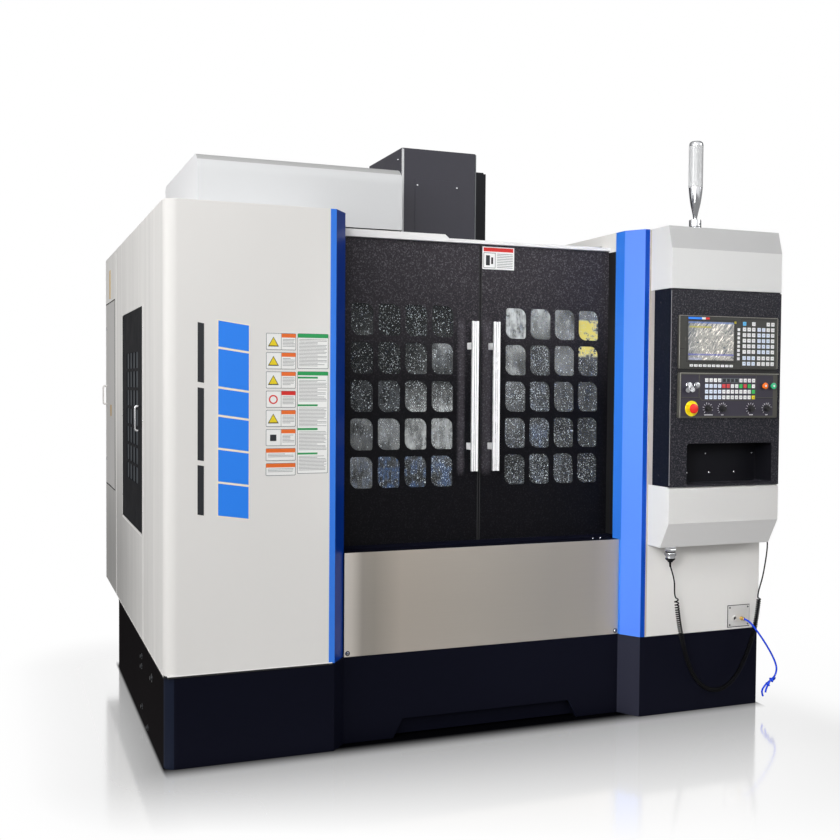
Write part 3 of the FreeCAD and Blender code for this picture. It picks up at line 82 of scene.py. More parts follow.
# ---------------------------------------------------------------- node trees
class Wire:
    """One output of a node; a sum, difference or product of wires adds the node for it."""

    def __init__(self, graph, socket):
        self.graph, self.socket = graph, socket

    def __getitem__(self, output):
        """Another output of the same node."""
        return Wire(self.graph, self.socket.node.outputs[output])

    def maths(self, operation, other=0.0):
        return self.graph.maths(operation, self, other)

    def __add__(self, other):
        return self.maths("ADD", other)

    def __sub__(self, other):
        return self.maths("SUBTRACT", other)

    def __mul__(self, other):
        return self.maths("MULTIPLY", other)


class Graph:
    """A shader's node tree under construction."""

    def __init__(self, tree):
        self.tree = tree

    def feed(self, socket, source):
        """Gives a socket a wire or a value."""
        if isinstance(source, Wire):
            self.tree.links.new(source.socket, socket)
        else:
            socket.default_value = source

    def out(self, kind, output=0, settings=None, **inputs):
        """Adds a node and gives one of its outputs; i0, i1 and so on are inputs by number."""
        made = self.tree.nodes.new("ShaderNode" + kind)
        for key, value in (settings or {}).items():
            setattr(made, key, value)
        for key, source in inputs.items():
            self.feed(made.inputs[int(key[1:]) if key[1:].isdigit() else key.replace("_", " ")], source)
        return Wire(self, made.outputs[output])

    def maths(self, operation, first, second=0.0):
        return self.out("Math", settings={"operation": operation}, i0=first, i1=second)

    def vector(self, operation, *values):
        return self.out("VectorMath", 0, {"operation": operation}, **{f"i{k}": v for k, v in enumerate(values)})

    def noise(self, place, scale=1.0, detail=2.0, roughness=0.5, **more):
        return self.out("TexNoise", Vector=place, Scale=scale, Detail=detail, Roughness=roughness, **more)

    def mapped(self, place, **how):
        return self.out("Mapping", Vector=place, **how)

    def spread(self, value, low, high, to_low=0.0, to_high=1.0, smooth=False):
        """A value's range from low to high laid over another range, and held at its ends."""
        return self.out(
            "MapRange", settings={"interpolation_type": "SMOOTHSTEP" if smooth else "LINEAR"}, Value=value,
            From_Min=low, From_Max=high, To_Min=to_low, To_Max=to_high,
        )


# ---------------------------------------------------------------- camera and light
YAW, PITCH, ROLL = (math.radians(angle) for angle in (21.26, 1.85, 0.43))
EYE, LENS, SENSOR = (-1.8864, -4.9795, 1.4109), 46.74, 36.0
LAMPS = (  # name, place, aim, size, watts, then colour and spread where they differ from the rest
    ("key_softbox", (-4.0, -8.5, 4.2), (0, 0, 1.0), (4.5, 4), 155),
    ("right_softbox", (6.5, -6.0, 4.5), (0.4, 0, 1.1), (4, 4), 130),
    ("left_softbox", (-7.0, -3.0, 3.5), (0, 0, 1.2), (2.5, 2.5), 155),
    ("high_softbox", (-4.5, -4.5, 6.0), (-0.5, 0, 1.8), (2.0, 2.0), 116),
    ("corner_softbox", (-2.9, -2.5, 3.0), (-1.35, -0.7, 1.8), (0.8, 0.8), 9),
    ("middle_softbox", (-1.6, -3.2, 1.9), (0.75, -0.95, 1.2), (0.6, 0.6), 4.5, WHITE, 50),
    ("work_lamp", (0.1, -0.62, 1.93), (0, 0.1, 1.0), (0.9, 0.12), 0.5, (0.93, 0.97, 1)),
)


def set_camera():
    """The camera stands where the photograph was taken from."""
    ahead = Vector((math.sin(YAW) * math.cos(PITCH), math.cos(YAW) * math.cos(PITCH), -math.sin(PITCH)))
    level = Vector((math.cos(YAW), -math.sin(YAW), 0))
    upright = level.cross(ahead)
    across = math.cos(ROLL) * level + math.sin(ROLL) * upright
    up = math.cos(ROLL) * upright - math.sin(ROLL) * level
    data = bpy.data.cameras.new("studio_camera")
    data.sensor_width, data.lens, data.clip_end = SENSOR, LENS, 200
    scene.camera = added("studio_camera", data)
    scene.camera.matrix_world = Matrix.Translation(EYE) @ Matrix((across, up, -ahead)).transposed().to_4x4()


def soft_lamp(name, place, aim, size, watts, colour=WHITE, spread=180):
    data = bpy.data.lights.new(name, "AREA")
    data.shape = "RECTANGLE"
    data.size, data.size_y = size
    data.energy, data.color, data.spread = watts, colour, math.radians(spread)
    lamp = added(name, data)
    lamp.location = place
    lamp.rotation_euler = (Vector(aim) - Vector(place)).to_track_quat("-Z", "Y").to_euler()


def light_room():
    """The room is bright in front for what mirrors it, dim for what it lights, and white for the camera."""
    world = bpy.data.worlds.new("studio_room")
    scene.world = world
    world.use_nodes = True
    room = Graph(world.node_tree)
    way = room.out("TexCoord", "Generated")

    def towards(direction, *rise):
        """A smooth rise of brightness towards a direction."""
        return room.spread(room.vector("DOT_PRODUCT", way, direction)["Value"], *rise, smooth=True)

    front = towards((-0.55, -0.82, 0.16), -0.2, 0.75, 0.3, 1.0)
    wall = towards((0.35, 0.94, 0), 0.8, 0.95, 0.0, 1.0)
    fill = towards((-0.3, -0.9, 0.3), -0.7, 0.7, 0.02, 0.36)
    behind = towards((0.35, 0.9, 0.25), 0.1, 0.9, 0.0, 0.4)
    rays = room.out("LightPath")
    strength = fill.maths("MAXIMUM", behind)
    for ray, level in (("Glossy", front.maths("MAXIMUM", wall)), ("Transmission", 1.0), ("Camera", 1.0)):
        strength = room.out("Mix", Factor=rays[f"Is {ray} Ray"], A=strength, B=level)
    back = world.node_tree.nodes["Background"].inputs
    back["Color"].default_value = (*WHITE, 1)
    room.feed(back["Strength"], strength)


FOOT_MIDDLE, FOOT_HALF = (-0.02, -0.2, 0), (1.3, 0.76, 0)  # the machine's foot on the floor


def lay_floor():
    """A white studio floor that mirrors the machine close by, with its shadow, and a painted black shadow along the
    machine's foot.
    """
    disc = bmesh.new()
    bmesh.ops.create_circle(disc, cap_ends=True, segments=96, radius=40)
    mesh = bpy.data.meshes.new("studio_floor")
    disc.to_mesh(mesh)
    disc.free()
    floor = added("studio_floor", mesh)
    finish = bpy.data.materials.new("studio_floor")
    finish.use_nodes = True
    finish.node_tree.nodes.clear()
    mesh.materials.append(finish)
    g = Graph(finish.node_tree)
    place = g.out("TexCoord", "Object")
    across = g.out("SeparateXYZ", Vector=place)
    offset = g.vector("ABSOLUTE", g.vector("SUBTRACT", place, FOOT_MIDDLE))
    outside = g.vector("MAXIMUM", g.vector("SUBTRACT", offset, FOOT_HALF), (0, 0, 0))
    away, touch = (g.vector("LENGTH", g.vector("MULTIPLY", outside, (x, 1, 0)))["Value"] for x in (1.3, 9))
    near = away.maths("DIVIDE", g.spread(across, -1.3, 1.3, 0.62, 1.75))
    near = g.maths("SUBTRACT", 1.0, near).maths("MAXIMUM") * g.spread(across, 1.3, 1.7, 1.0, 0.2, smooth=True)
    # painted shadow: the floor turns black close round the machine's foot
    contact_shadow_mask = g.spread(touch, 0.0, 0.14, 1.0, 0.0, smooth=True)
    shadow = g.spread(away, 0.0, 0.8, 0.3, 0.0, smooth=True) * g.spread(across, 1.1, 1.5, 1.0, 0.0, smooth=True)
    rays = g.out("LightPath")
    glow = rays["Is Camera Ray"] + rays["Is Glossy Ray"] * 0.3 + rays["Is Diffuse Ray"] * 0.22
    lit = g.out("BsdfDiffuse", Color=(0.8, 0.8, 0.81, 1))
    ground = g.out("MixShader", i0=shadow, i1=g.out("Emission", Strength=glow), i2=lit)
    mirror = g.out("BsdfGlossy", Color=(*WHITE, 1), Roughness=0.1)
    gloss = g.out("MixShader", i0=near * 0.6, i1=ground, i2=mirror)
    dark = g.out("BsdfDiffuse", Color=(0.002, 0.002, 0.003, 1))
    surface = g.tree.nodes.new("ShaderNodeOutputMaterial").inputs["Surface"]
    g.feed(surface, g.out("MixShader", i0=contact_shadow_mask, i1=gloss, i2=dark))


set_camera()
for row in LAMPS:
    soft_lamp(*row)
light_room()
lay_floor()


# ---------------------------------------------------------------- effects that finishes share
class Effect(Graph):
    """A shader node group under construction: a vector and numbers in, numbers out."""

    def __init__(self, name, outputs, **inputs):
        super().__init__(bpy.data.node_groups.new(name, "ShaderNodeTree"))
        sockets = self.tree.interface
        sockets.new_socket("Vector", in_out="INPUT", socket_type="NodeSocketVector")
        for label, value in inputs.items():
            socket = sockets.new_socket(label.replace("_", " "), in_out="INPUT", socket_type="NodeSocketFloat")
            socket.default_value = value
        for label in outputs.split():
            sockets.new_socket(label, in_out="OUTPUT", socket_type="NodeSocketFloat")
        self.given = Wire(self, self.tree.nodes.new("NodeGroupInput").outputs["Vector"])
        self.end = self.tree.nodes.new("NodeGroupOutput")

    def give(self, **results):
        for label, wire in results.items():
            self.feed(self.end.inputs[label], wire)
        return self.tree


def grain_effect():
    """Powder coat: a fine orange-peel grain with faint large clouds of tone."""
    e = Effect("coat_grain", "Shade Height Wear", Grain_Scale=900.0, Grain=0.03, Cloud=0.03)
    fine = e.noise(e.given, e.given["Grain Scale"], 2.0, 0.55)
    cloud = e.noise(e.given, 1.7, 4.0, 0.6)
    shade = (fine - 0.5) * e.given["Grain"] + (cloud - 0.5) * e.given["Cloud"] + 1.0
    return e.give(Shade=shade, Height=fine, Wear=e.noise(e.given, 9.0, 6.0, 0.7))


def fleck_effect():
    """Small pale flecks of a coarse black coat."""
    e = Effect("coat_flecks", "Mask", Fleck_Scale=260.0, Cover=0.62)
    speck = e.noise(e.given, e.given["Fleck Scale"], 3.0, 0.75)
    return e.give(Mask=((speck - e.given["Cover"]) * 6.0).maths("MAXIMUM"))


def brush_effect():
    """Fine parallel lines of a brushed or ground metal, along the vector's X."""
    e = Effect("metal_brushing", "Shade Height Rough", Depth=0.1)
    lines = e.noise(e.mapped(e.given, Scale=(3.0, 700.0, 700.0)), 1.0, 5.0, 0.7)
    swing = (lines - 0.5) * e.given["Depth"]
    return e.give(Shade=swing + 1.0, Height=lines, Rough=swing.maths("ABSOLUTE"))


def dust_effect():
    """Pale workshop dust that settles low on the machine and thins out upwards."""
    e = Effect("floor_dust", "Mask", Low=0.0, High=0.3, Amount=0.2)
    height = e.out("SeparateXYZ", "Z", Vector=e.given)
    rise = e.spread(height, e.given["Low"], e.given["High"], 1.0, 0.0, smooth=True)
    return e.give(Mask=rise * e.noise(e.given, 14.0, 7.0, 0.72) * e.given["Amount"])


EFFECTS = {"grain": grain_effect(), "flecks": fleck_effect(), "brushing": brush_effect(), "dust": dust_effect()}
DUST, DUST_TOP = (150, 146, 140), 0.9
SHORT_LABELS = {"specular": "Specular IOR Level", "coat": "Coat Weight"}


# ---------------------------------------------------------------- finishes
def tone(red, green, blue):
    """A display colour, 0 to 255, as the linear colour that a shader takes."""
    def linear(level):
        level /= 255
        return level / 12.92 if level <= 0.04045 else ((level + 0.055) / 1.055) ** 2.4
    return (linear(red), linear(green), linear(blue), 1)


class Finish(Graph):
    """A material: a Principled shader with effects feeding its colour, roughness and bump."""

    def __init__(self, name, colour, roughness=0.4, metallic=0.0, **sockets):
        self.material = bpy.data.materials.new(name)
        self.material.use_nodes = True
        super().__init__(self.material.node_tree)
        self.sockets = self.tree.nodes["Principled BSDF"].inputs
        self.colour, self.roughness = tone(*colour), roughness
        self.sockets["Metallic"].default_value = metallic
        for label, value in sockets.items():
            self.sockets[SHORT_LABELS.get(label, label.replace("_", " "))].default_value = value
        self.where = self.out("TexCoord", "Object")

    def effect(self, name, vector=None, **values):
        return self.out("Group", 0, {"node_tree": EFFECTS[name]}, Vector=vector or self.where, **values)

    def axis(self, letter):
        return self.out("SeparateXYZ", letter, Vector=self.where)

    def ramp(self, source, stops):
        """Linear colours along a value: (position, colour) pairs."""
        made = self.out("ValToRGB", Fac=source)
        elements = made.socket.node.color_ramp.elements
        while len(elements) < len(stops):
            elements.new(0.5)
        for element, (position, colour) in zip(elements, stops):
            element.position, element.color = position, colour
        return made

    def mix(self, share, first, second, blend="MIX"):
        return self.out("Mix", 2, {"data_type": "RGBA", "blend_type": blend}, i0=share, i6=first, i7=second)

    def shade(self, value):
        """Multiplies the colour by a value that varies over the surface."""
        self.colour = self.mix(1.0, self.colour, self.out("CombineXYZ", X=value, Y=value, Z=value), "MULTIPLY")

    def cover(self, mask, colour):
        self.colour = self.mix(mask, self.colour, tone(*colour))

    def roughen(self, value, amount):
        self.roughness = (value - 0.5) * amount + self.roughness

    def grain(self, scale, grain, cloud, wear):
        """Lays a coat's grain, clouds and uneven gloss over the surface, and gives the grain's height."""
        coat = self.effect("grain", Grain_Scale=scale, Grain=grain, Cloud=cloud)
        self.shade(coat["Shade"])
        self.roughen(coat["Wear"], wear)
        return coat["Height"]

    def brush(self, depth, turn=(0, 0, 0)):
        """Lays brushed lines over the surface, and gives their height."""
        lines = self.effect("brushing", self.mapped(self.where, Rotation=turn), Depth=depth)
        self.shade(lines["Shade"])
        self.roughness = lines["Rough"] + self.roughness
        return lines["Height"]

    def dust(self, amount):
        self.cover(self.effect("dust", Low=0.0, High=DUST_TOP, Amount=amount)["Mask"], DUST)

    def done(self, height, distance, strength=0.5):
        self.feed(self.sockets["Base Color"], self.colour)
        self.feed(self.sockets["Roughness"], self.roughness)
        self.feed(self.sockets["Normal"], self.out("Bump", Height=height, Distance=distance, Strength=strength))
        return self.material


def coated(name, colour, roughness=0.5, grain=0.03, cloud=0.03, scale=900.0, bump=0.00012, dust=0.0, **sockets):
    f = Finish(name, colour, roughness, **sockets)
    height = f.grain(scale, grain, cloud, 0.16)
    if dust:
        f.dust(dust)
    return f.done(height, bump, 0.6)


def wall_coat_with_painted_shade():
    """The long left sheet: upright streaks of painted sheen that lighten its side face, and painted shade that
    darkens it low down towards the back.
    """
    f = Finish("warm_white_wall_painted_shade", (235, 233, 230), 0.5, specular=0.07)
    height = f.grain(900.0, 0.03, 0.03, 0.16)
    side = f.spread(f.axis("X"), -1.322, -1.3, 1.0, 0.0)
    streak = f.noise(f.mapped(f.where, Scale=(0.0, 9.0, 0.5)), 1.0, 5.0, 0.65)
    # painted sheen: upright streaks that mostly lighten the side face
    f.shade(side * f.spread(streak, 0.3, 0.7, -0.03, 0.12) + 1.0)
    # painted shade: darker towards the back and low down on the side face
    back = side * f.spread(f.axis("Y"), -0.75, 0.75, 0.02, 0.52)
    low = f.spread(f.axis("Z"), 1.6, 0.5, smooth=True)
    f.shade(f.maths("SUBTRACT", 1.0, back * low))
    f.dust(0.1)
    return f.done(height, 0.00012, 0.6)


SHEEN_RISE, SHEEN_BAND_FADE = (1.3, 2.0), 0.014  # where the painted sheen of stronger flecks rises, and how softly a handle's band of it ends


def black_coat_with_painted_sheen(name, colour, fleck, low, high, cover, fleck_and_sheen_strength, bands=()):
    """Coarse textured black coat with pale flecks, which show more strongly towards the top and in upright bands near
    the handles as painted sheen.
    """
    f = Finish(name, colour, 0.5, specular=0.1)
    # painted sheen: more and stronger flecks towards the top
    amount = f.spread(f.axis("Z"), *SHEEN_RISE, low, high, smooth=True)
    f.cover(amount * 0.5, fleck)
    fleck_and_sheen = amount * fleck_and_sheen_strength[0] + fleck_and_sheen_strength[1]
    # painted sheen: an upright band of stronger flecks near each handle
    for left, right in bands:
        near = f.spread(f.axis("X"), left, left + SHEEN_BAND_FADE) * f.spread(f.axis("X"), right, right - SHEEN_BAND_FADE)
        near = near * (f.spread(f.axis("Z"), 1.03, 1.07) * f.spread(f.axis("Z"), 1.7, 1.66))
        f.cover(near * 0.18, fleck)
        fleck_and_sheen = fleck_and_sheen + near * 0.4
    flecks = f.effect("flecks", Fleck_Scale=175.0, Cover=cover)
    f.cover(flecks.maths("MINIMUM", 1.0) * fleck_and_sheen, fleck)
    return f.done(f.grain(240.0, 0.5, 0.3, 0.2), 0.0004, 0.7)


def bare_metal(name, colour, roughness=0.3, depth=0.25, turn=(0, 0, 0), cloud=0.06, metallic=1.0):
    f = Finish(name, colour, roughness, metallic)
    height = f.brush(depth, turn)
    f.grain(60.0, cloud, cloud, 0.12)
    return f.done(height, 0.00005, 0.4)


def polished(name, colour, roughness=0.09):
    f = Finish(name, colour, roughness, 1.0)
    return f.done(f.grain(40.0, 0.02, 0.03, 0.12), 0.00002, 0.2)


def moulded(name, colour, roughness=0.4, grain=0.03, scale=1400.0, bump=0.00006, **sockets):
    f = Finish(name, colour, roughness, **sockets)
    return f.done(f.grain(scale, grain, 0.05, 0.18), bump)


def blue_trim_shaded_by_fold(name, steps, tones):
    """Gloss blue coat in tones that change at the folds, given by their X in millimetres: painted light and shade,
    one tone for each facing.
    """
    f = Finish(name, tones[0], 0.34, specular=0.2)
    # painted light and shade: each facing past a fold takes its own tone
    for fold, colour in zip(steps, tones[1:]):
        f.cover(f.spread(f.axis("X"), (fold - 0.6) * MM, (fold + 0.6) * MM), colour)
    return f.done(f.grain(700.0, 0.03, 0.05, 0.14), 0.0001)


def stainless_panel():
    """Brushed sheet: lines along X under soft upright bands of painted reflection, lightest at the left end."""
    f = Finish("brushed_panel", (176, 170, 163), 0.33, 0.72)
    # painted reflection: upright bands of light and dark across the sheet
    bands = f.ramp(f.spread(f.axis("X"), -0.622, 0.614), [
        (0.0, (1.5, 1.5, 1.5, 1)), (0.025, (1.3, 1.3, 1.3, 1)), (0.06, (0.72, 0.71, 0.7, 1)),
        (0.1, (0.7, 0.69, 0.67, 1)), (0.19, (0.94, 0.91, 0.88, 1)), (0.45, (0.88, 0.87, 0.86, 1)),
        (0.74, (0.75, 0.755, 0.77, 1)), (0.9, (0.76, 0.76, 0.765, 1)), (1.0, (1.0, 0.98, 0.96, 1)),
    ])
    f.colour = f.mix(1.0, tone(212, 205, 196), bands, "MULTIPLY")
    return f.done(f.brush(0.12), 0.00004, 0.35)


def window_glass():
    """Clear tinted pane, faintly uneven from long use."""
    f = Finish("door_glass", (74, 82, 90), 0.03, IOR=1.12, Transmission_Weight=0.95)
    streak = f.noise(f.mapped(f.where, Scale=(30.0, 30.0, 3.0)), 1.0, 3.0)
    f.roughen(streak, 0.08)
    return f.done(streak, 0.0006, 0.3)


def reflection_and_coolant_film():
    """A film on a pane: painted reflection as a grey veil with upright streaks and blue and yellow tints, with crisp
    pale specks and smudges of dried coolant.

    The panes' own attribute "wetness" holds the shares of veil, blue tint and specks, and of yellow as its alpha.
    """
    f = Finish("reflection_and_coolant_film", (202, 206, 206), 0.4)
    pane_shares = f.out("Attribute", "Color", {"attribute_name": "reflection_and_spots"})
    veil = f.out("SeparateColor", Color=pane_shares)
    crowd = veil["Blue"]
    upright_streaks = f.noise(f.mapped(f.where, Scale=(210.0, 1.0, 13.0)), 1.0, 3.0, 0.6)
    haze = f.noise(f.mapped(f.where, Scale=(24.0, 1.0, 15.0)), 1.0, 3.0, 0.6)
    patchy = f.spread(haze, 0.35, 0.65, 0.25, 1.65) * f.spread(upright_streaks, 0.36, 0.64, 0.8, 1.2)
    speck = 0.0
    for scale, reach, lost in ((125.0, 0.27, 0.0), (205.0, 0.3, 0.1)):
        long = f.mapped(f.where, Scale=(1.0, 1.0, 0.8), Location=(scale, 0, 0))
        cell = f.out("TexVoronoi", Vector=long, Scale=scale, Randomness=1.0)
        luck = f.out("SeparateColor", Color=cell["Color"])
        dot = f.spread(f.spread(luck, 0.0, 1.0, 0.45, 1.0) * reach - cell["Distance"], 0.0, 0.05)
        here = f.spread(crowd * 1.05 - luck["Green"], lost, lost + 0.08)
        speck = (dot * (here * f.spread(luck["Blue"], 0.0, 1.0, 0.45, 1.0))).maths("MAXIMUM", speck)
    grain = f.noise(f.where, 310.0, 1.5, 0.6)
    blot = f.noise(f.where, 34.0, 3.0, 0.7)
    tint = veil["Green"] * f.spread(blot + (upright_streaks - 0.5), 0.46, 0.6)
    yellow_reflection = f.spread(pane_shares["Alpha"], 0.3, 0.36) * f.spread(blot, 0.38, 0.52)
    smudge = f.spread(grain, 0.52, 0.7) * (crowd * 0.07)
    # painted reflection: the grey veil and its blue and yellow tints; the specks and smudges are dried coolant
    cover = veil.maths("POWER", 1.3) * patchy + speck + (tint * 0.36 + yellow_reflection) + smudge
    f.feed(f.sockets["Alpha"], (cover + 0.01).maths("MINIMUM", 0.95))
    f.cover(tint, (18, 92, 160))
    f.cover(yellow_reflection, (236, 220, 116))
    f.cover(speck, (226, 238, 242))
    return f.done(grain, 0.0003, 0.3)


def film_screen():
    """A dark display under its creased protective film, with plain bars of colour on it; the creases carry painted
    highlights, and the screen's glow carries them too.
    """
    f = Finish("display_screen", (120, 124, 128), 0.2, coat=0.4, Coat_Roughness=0.08)
    x = f.spread(f.axis("X"), 0.775, 1.001)
    z = f.spread(f.axis("Z"), 1.522, 1.681)
    leaned = f.mapped(f.mapped(f.where, Rotation=(0, -0.62, 0)), Scale=(42.0, 1.0, 13.0))
    crease = f.noise(leaned, 1.0, 7.0, 0.66, Distortion=2.6)
    # painted highlights: pale sheen along the creases
    sheen = f.ramp(crease, [
        (0.36, tone(78, 88, 100)), (0.44, tone(138, 139, 138)), (0.49, tone(206, 200, 188)),
        (0.52, tone(120, 122, 122)), (0.56, tone(168, 166, 160)), (0.6, tone(255, 250, 240)),
    ])
    f.colour = f.mix(f.spread(x, 0.3, 0.0, 0.0, 0.55), sheen, tone(70, 84, 96))
    for low_x, high_x, low_z, high_z, colour, strength in (
        (0.0, 1.0, 0.955, 1.0, (96, 120, 176), 0.8), (0.02, 0.5, 0.84, 0.885, (176, 170, 70), 0.75),
        (0.0, 1.0, 0.12, 0.165, (90, 96, 176), 0.7), (0.02, 0.3, 0.0, 0.06, (150, 156, 190), 0.6),
    ):
        across = x.maths("GREATER_THAN", low_x) * x.maths("LESS_THAN", high_x)
        up = z.maths("GREATER_THAN", low_z) * z.maths("LESS_THAN", high_z)
        f.cover(across * up * strength, colour)
    f.roughen(crease, 0.3)
    # the glow takes the colour with its painted crease highlights
    f.feed(f.sockets["Emission Color"], f.mix(1.0, f.colour, (0.25, 0.25, 0.25, 1), "MULTIPLY"))
    f.sockets["Emission Strength"].default_value = 0.7
    return f.done(crease, 0.0012, 0.8)


UPRIGHT = (0, math.radians(90), 0)
FINISH = {
    "panel": coated("warm_white_coat", (230, 228, 225), dust=0.1, specular=0.07),
    "left_wall": wall_coat_with_painted_shade(),
    "rear_door_coat": coated("rear_door_coat", (207, 205, 203), dust=0.1, specular=0.07),
    "column_coat": coated("light_coat", (227, 227, 226), dust=0.05, specular=0.1),
    "column_bevel": coated("light_coat_bevel_painted_shade", (201, 201, 201), specular=0.1),
    "column_slope": coated("light_coat_slope_painted_light", (226, 225, 224), specular=0.1),
    "cover": coated("light_grey_coat", (226, 227, 228), specular=0.2),
    "black_door": black_coat_with_painted_sheen(
        "black_texture_coat", (6, 6, 10), (124, 119, 126), 0.0, 0.36, 0.52, (1.9, 0.06),
        ((-0.104, -0.062), (0.004, 0.06)),
    ),
    "housing": black_coat_with_painted_sheen("charcoal_texture_coat", (24, 24, 30), (132, 130, 138), 0.06, 0.16, 0.52, (1.2, 0.3)),
    "housing_side": black_coat_with_painted_sheen("charcoal_side_painted_shade", (14, 17, 27), (96, 100, 112), 0.03, 0.06, 0.53, (1.0, 0.12)),
    "rail_coat": coated("rail_coat", (250, 249, 248), specular=0.1),
    "return_grey": coated("pale_return_painted_shade", (178, 172, 166), specular=0.07),
    "edge_tan": coated("tan_edge_painted_shade", (188, 180, 163), specular=0.07),
    "base_side": coated("navy_side_painted_shade", (29, 27, 28), 0.6, 0.3, 0.3, 300, specular=0.0),
    "base_corner": coated("navy_corner_highlight", (27, 32, 47), 0.4, 0.1, scale=420, specular=0.05),
    "box_coat": coated("light_box_coat", (214, 213, 211), dust=0.05, specular=0.1),
    "base": coated("dark_navy_coat", (17, 18, 29), 0.4, 0.1, 0.2, 420, 0.0003, specular=0.02),
    "left_blue": blue_trim_shaded_by_fold("left_blue_coat", [-681], [(60, 130, 238), (0, 54, 146)]),
    "right_blue": blue_trim_shaded_by_fold("right_blue_coat", [614.6, 665.4], [(54, 128, 236), (86, 136, 248), (0, 72, 182)]),
    "panel_steel": stainless_panel(),
    "steel": bare_metal("ground_steel", (186, 187, 190), 0.28),
    "dark_steel": bare_metal("blackened_steel", (70, 71, 74), 0.36, 0.1),
    "chrome": polished("polished_chrome", (226, 227, 230)),
    "bar_chrome": bare_metal("satin_bar", (226, 226, 229), 0.26, 0.16, UPRIGHT, metallic=0.55),
    "cover_grey": coated("dark_grey_coat", (55, 54, 64), 0.4, 0.35, 0.1, 230),
    "cover_side": coated("light_grey_side_painted_light", (250, 250, 251), specular=0.2),
    "cover_top": coated("light_grey_top_painted_shade", (192, 192, 192), specular=0.2),
    "base_fold": coated("navy_fold_highlight", (46, 47, 60), 0.4, 0.3, scale=420, specular=0.05),
    "air_sheet": bare_metal("air_plate_satin", (222, 220, 217), 0.35, 0.06, metallic=0.2),
    "duct": coated("black_duct_coat", (26, 26, 31), 0.5, 0.08, 0.08, 600, specular=0.2),
    "casting": coated("casting_paint", (136, 142, 148), 0.46, 0.1, 0.14, 260, 0.0005),
    "galvanised": bare_metal("galvanised_sheet", (120, 126, 132), 0.42, 0.1, cloud=0.25),
    "glass": window_glass(),
    "film": reflection_and_coolant_film(),
    "screen": film_screen(),
    "bar_bright": bare_metal("bar_painted_highlight", (250, 250, 250), 0.3, 0.05, UPRIGHT, metallic=0.2),
    "brass": bare_metal("turned_brass", (214, 180, 104), 0.24, 0.1),
    "pocket": moulded("pocket_black", (20, 20, 25), 0.5, 0.2, 400.0, specular=0.1),
    "drop": moulded("coolant_drop", (214, 224, 232), 0.12, 0.05, coat=0.6),
    "side_black": moulded("side_door_coat", (20, 20, 24), 0.5, 0.3, 300.0, 0.0003, specular=0.02),
    "slot": moulded("slot_shadow", (56, 62, 68), 0.4, 0.9, 60.0, specular=0.1),
    "readout": moulded("grey_readout", (98, 104, 110), 0.3, 0.05, coat=0.4),
    "readout_dark": moulded("readout_window", (24, 30, 36), 0.16, coat=0.6),
    "red": moulded("red_moulding", (236, 38, 20), 0.24, coat=0.5),
    "orange": moulded("orange_lens", (250, 118, 24), 0.2, coat=0.6),
    "green": moulded("green_lens", (60, 200, 140), 0.2, coat=0.6),
    "rubber": moulded("black_rubber", (3, 3, 5), 0.4, 0.1, 700, 0.0002, specular=0.1),
    "hose": moulded("blue_hose", (0, 66, 224), 0.26, 0.04, specular=0.3),
    "lamp": moulded("frosted_lamp", (216, 217, 218), 0.3, coat=0.4),
}
MOULDED = {  # the material's name, its tone, roughness and grain, and the grain's scale
    "rim_shine": ("rim_shine", (168, 166, 156), 0.3, 0.05),
    "black_plastic": ("black_moulding", (24, 24, 26), 0.4, 0.06),
    "panel_plastic": ("operator_face", (44, 40, 54), 0.46, 0.12, 900),
    "rim_plastic": ("operator_rim", (68, 67, 60), 0.4, 0.1, 900),
    "display_plastic": ("display_face", (52, 52, 48), 0.44, 0.12, 900),
    "groove": ("dark_groove", (10, 10, 12), 0.6, 0.06),
    "seam_pale": ("pale_seam_and_highlight", (246, 244, 241), 0.4, 0.05),
    "label_ochre": ("label_ochre", (188, 144, 36)),
    "label_tan": ("label_tan", (224, 188, 118)),
    "edge_grey": ("painted_edge_highlight", (150, 150, 154), 0.4, 0.1),
    "key_white": ("white_key", (236, 236, 236), 0.34),
    "key_pale": ("pale_blue_key", (222, 231, 246), 0.34),
    "key_blue": ("blue_key", (96, 186, 236), 0.3),
    "key_red": ("red_key", (228, 74, 76), 0.3),
    "key_green": ("green_key", (56, 196, 92), 0.3),
    "key_yellow": ("yellow_key", (240, 222, 36), 0.3),
    "key_mark": ("key_mark", (86, 92, 108), 0.5),
    "tick": ("white_tick", (226, 226, 228), 0.5),
    "yellow": ("yellow_ring", (246, 226, 20), 0.34),
    "plate": ("label_plate", (246, 246, 244)),
    "plate_edge": ("label_edge", (74, 77, 82), 0.5),
    "plate_line": ("label_rule", (104, 107, 110), 0.5),
    "plate_orange": ("label_orange", (238, 112, 40)),
    "plate_green": ("label_green", (34, 156, 84)),
    "plate_red": ("label_red", (218, 40, 34)),
    "sign_yellow": ("label_yellow", (240, 214, 30)),
    "stripe_cream": ("cream_border", (252, 240, 218)),
    "stripe_blue": ("blue_stripe", (38, 136, 252), 0.36),
    "stripe_black": ("black_stripe", (26, 28, 34)),
}
FINISH.update({key: moulded(*row) for key, row in MOULDED.items()})


# ---------------------------------------------------------------- ways of making a piece
FRONT, LEFT, RIGHT, BACK, UP, DOWN = (0, -1, 0), (-1, 0, 0), (1, 0, 0), (0, 1, 0), (0, 0, 1), (0, 0, -1)


def rounded(solid, edge, steps=2, angle=30):
    """Rounds the edges where faces meet at more than the angle."""
    if edge:
        sharp = [e for e in solid.edges if len(e.link_faces) == 2 and e.calc_face_angle(0) > math.radians(angle)]
        bmesh.ops.bevel(
            solid, geom=sharp, offset=edge * MM, offset_type="OFFSET", affect="EDGES", segments=steps,
            profile=0.5, material=-1, clamp_overlap=True,
        )
    return solid


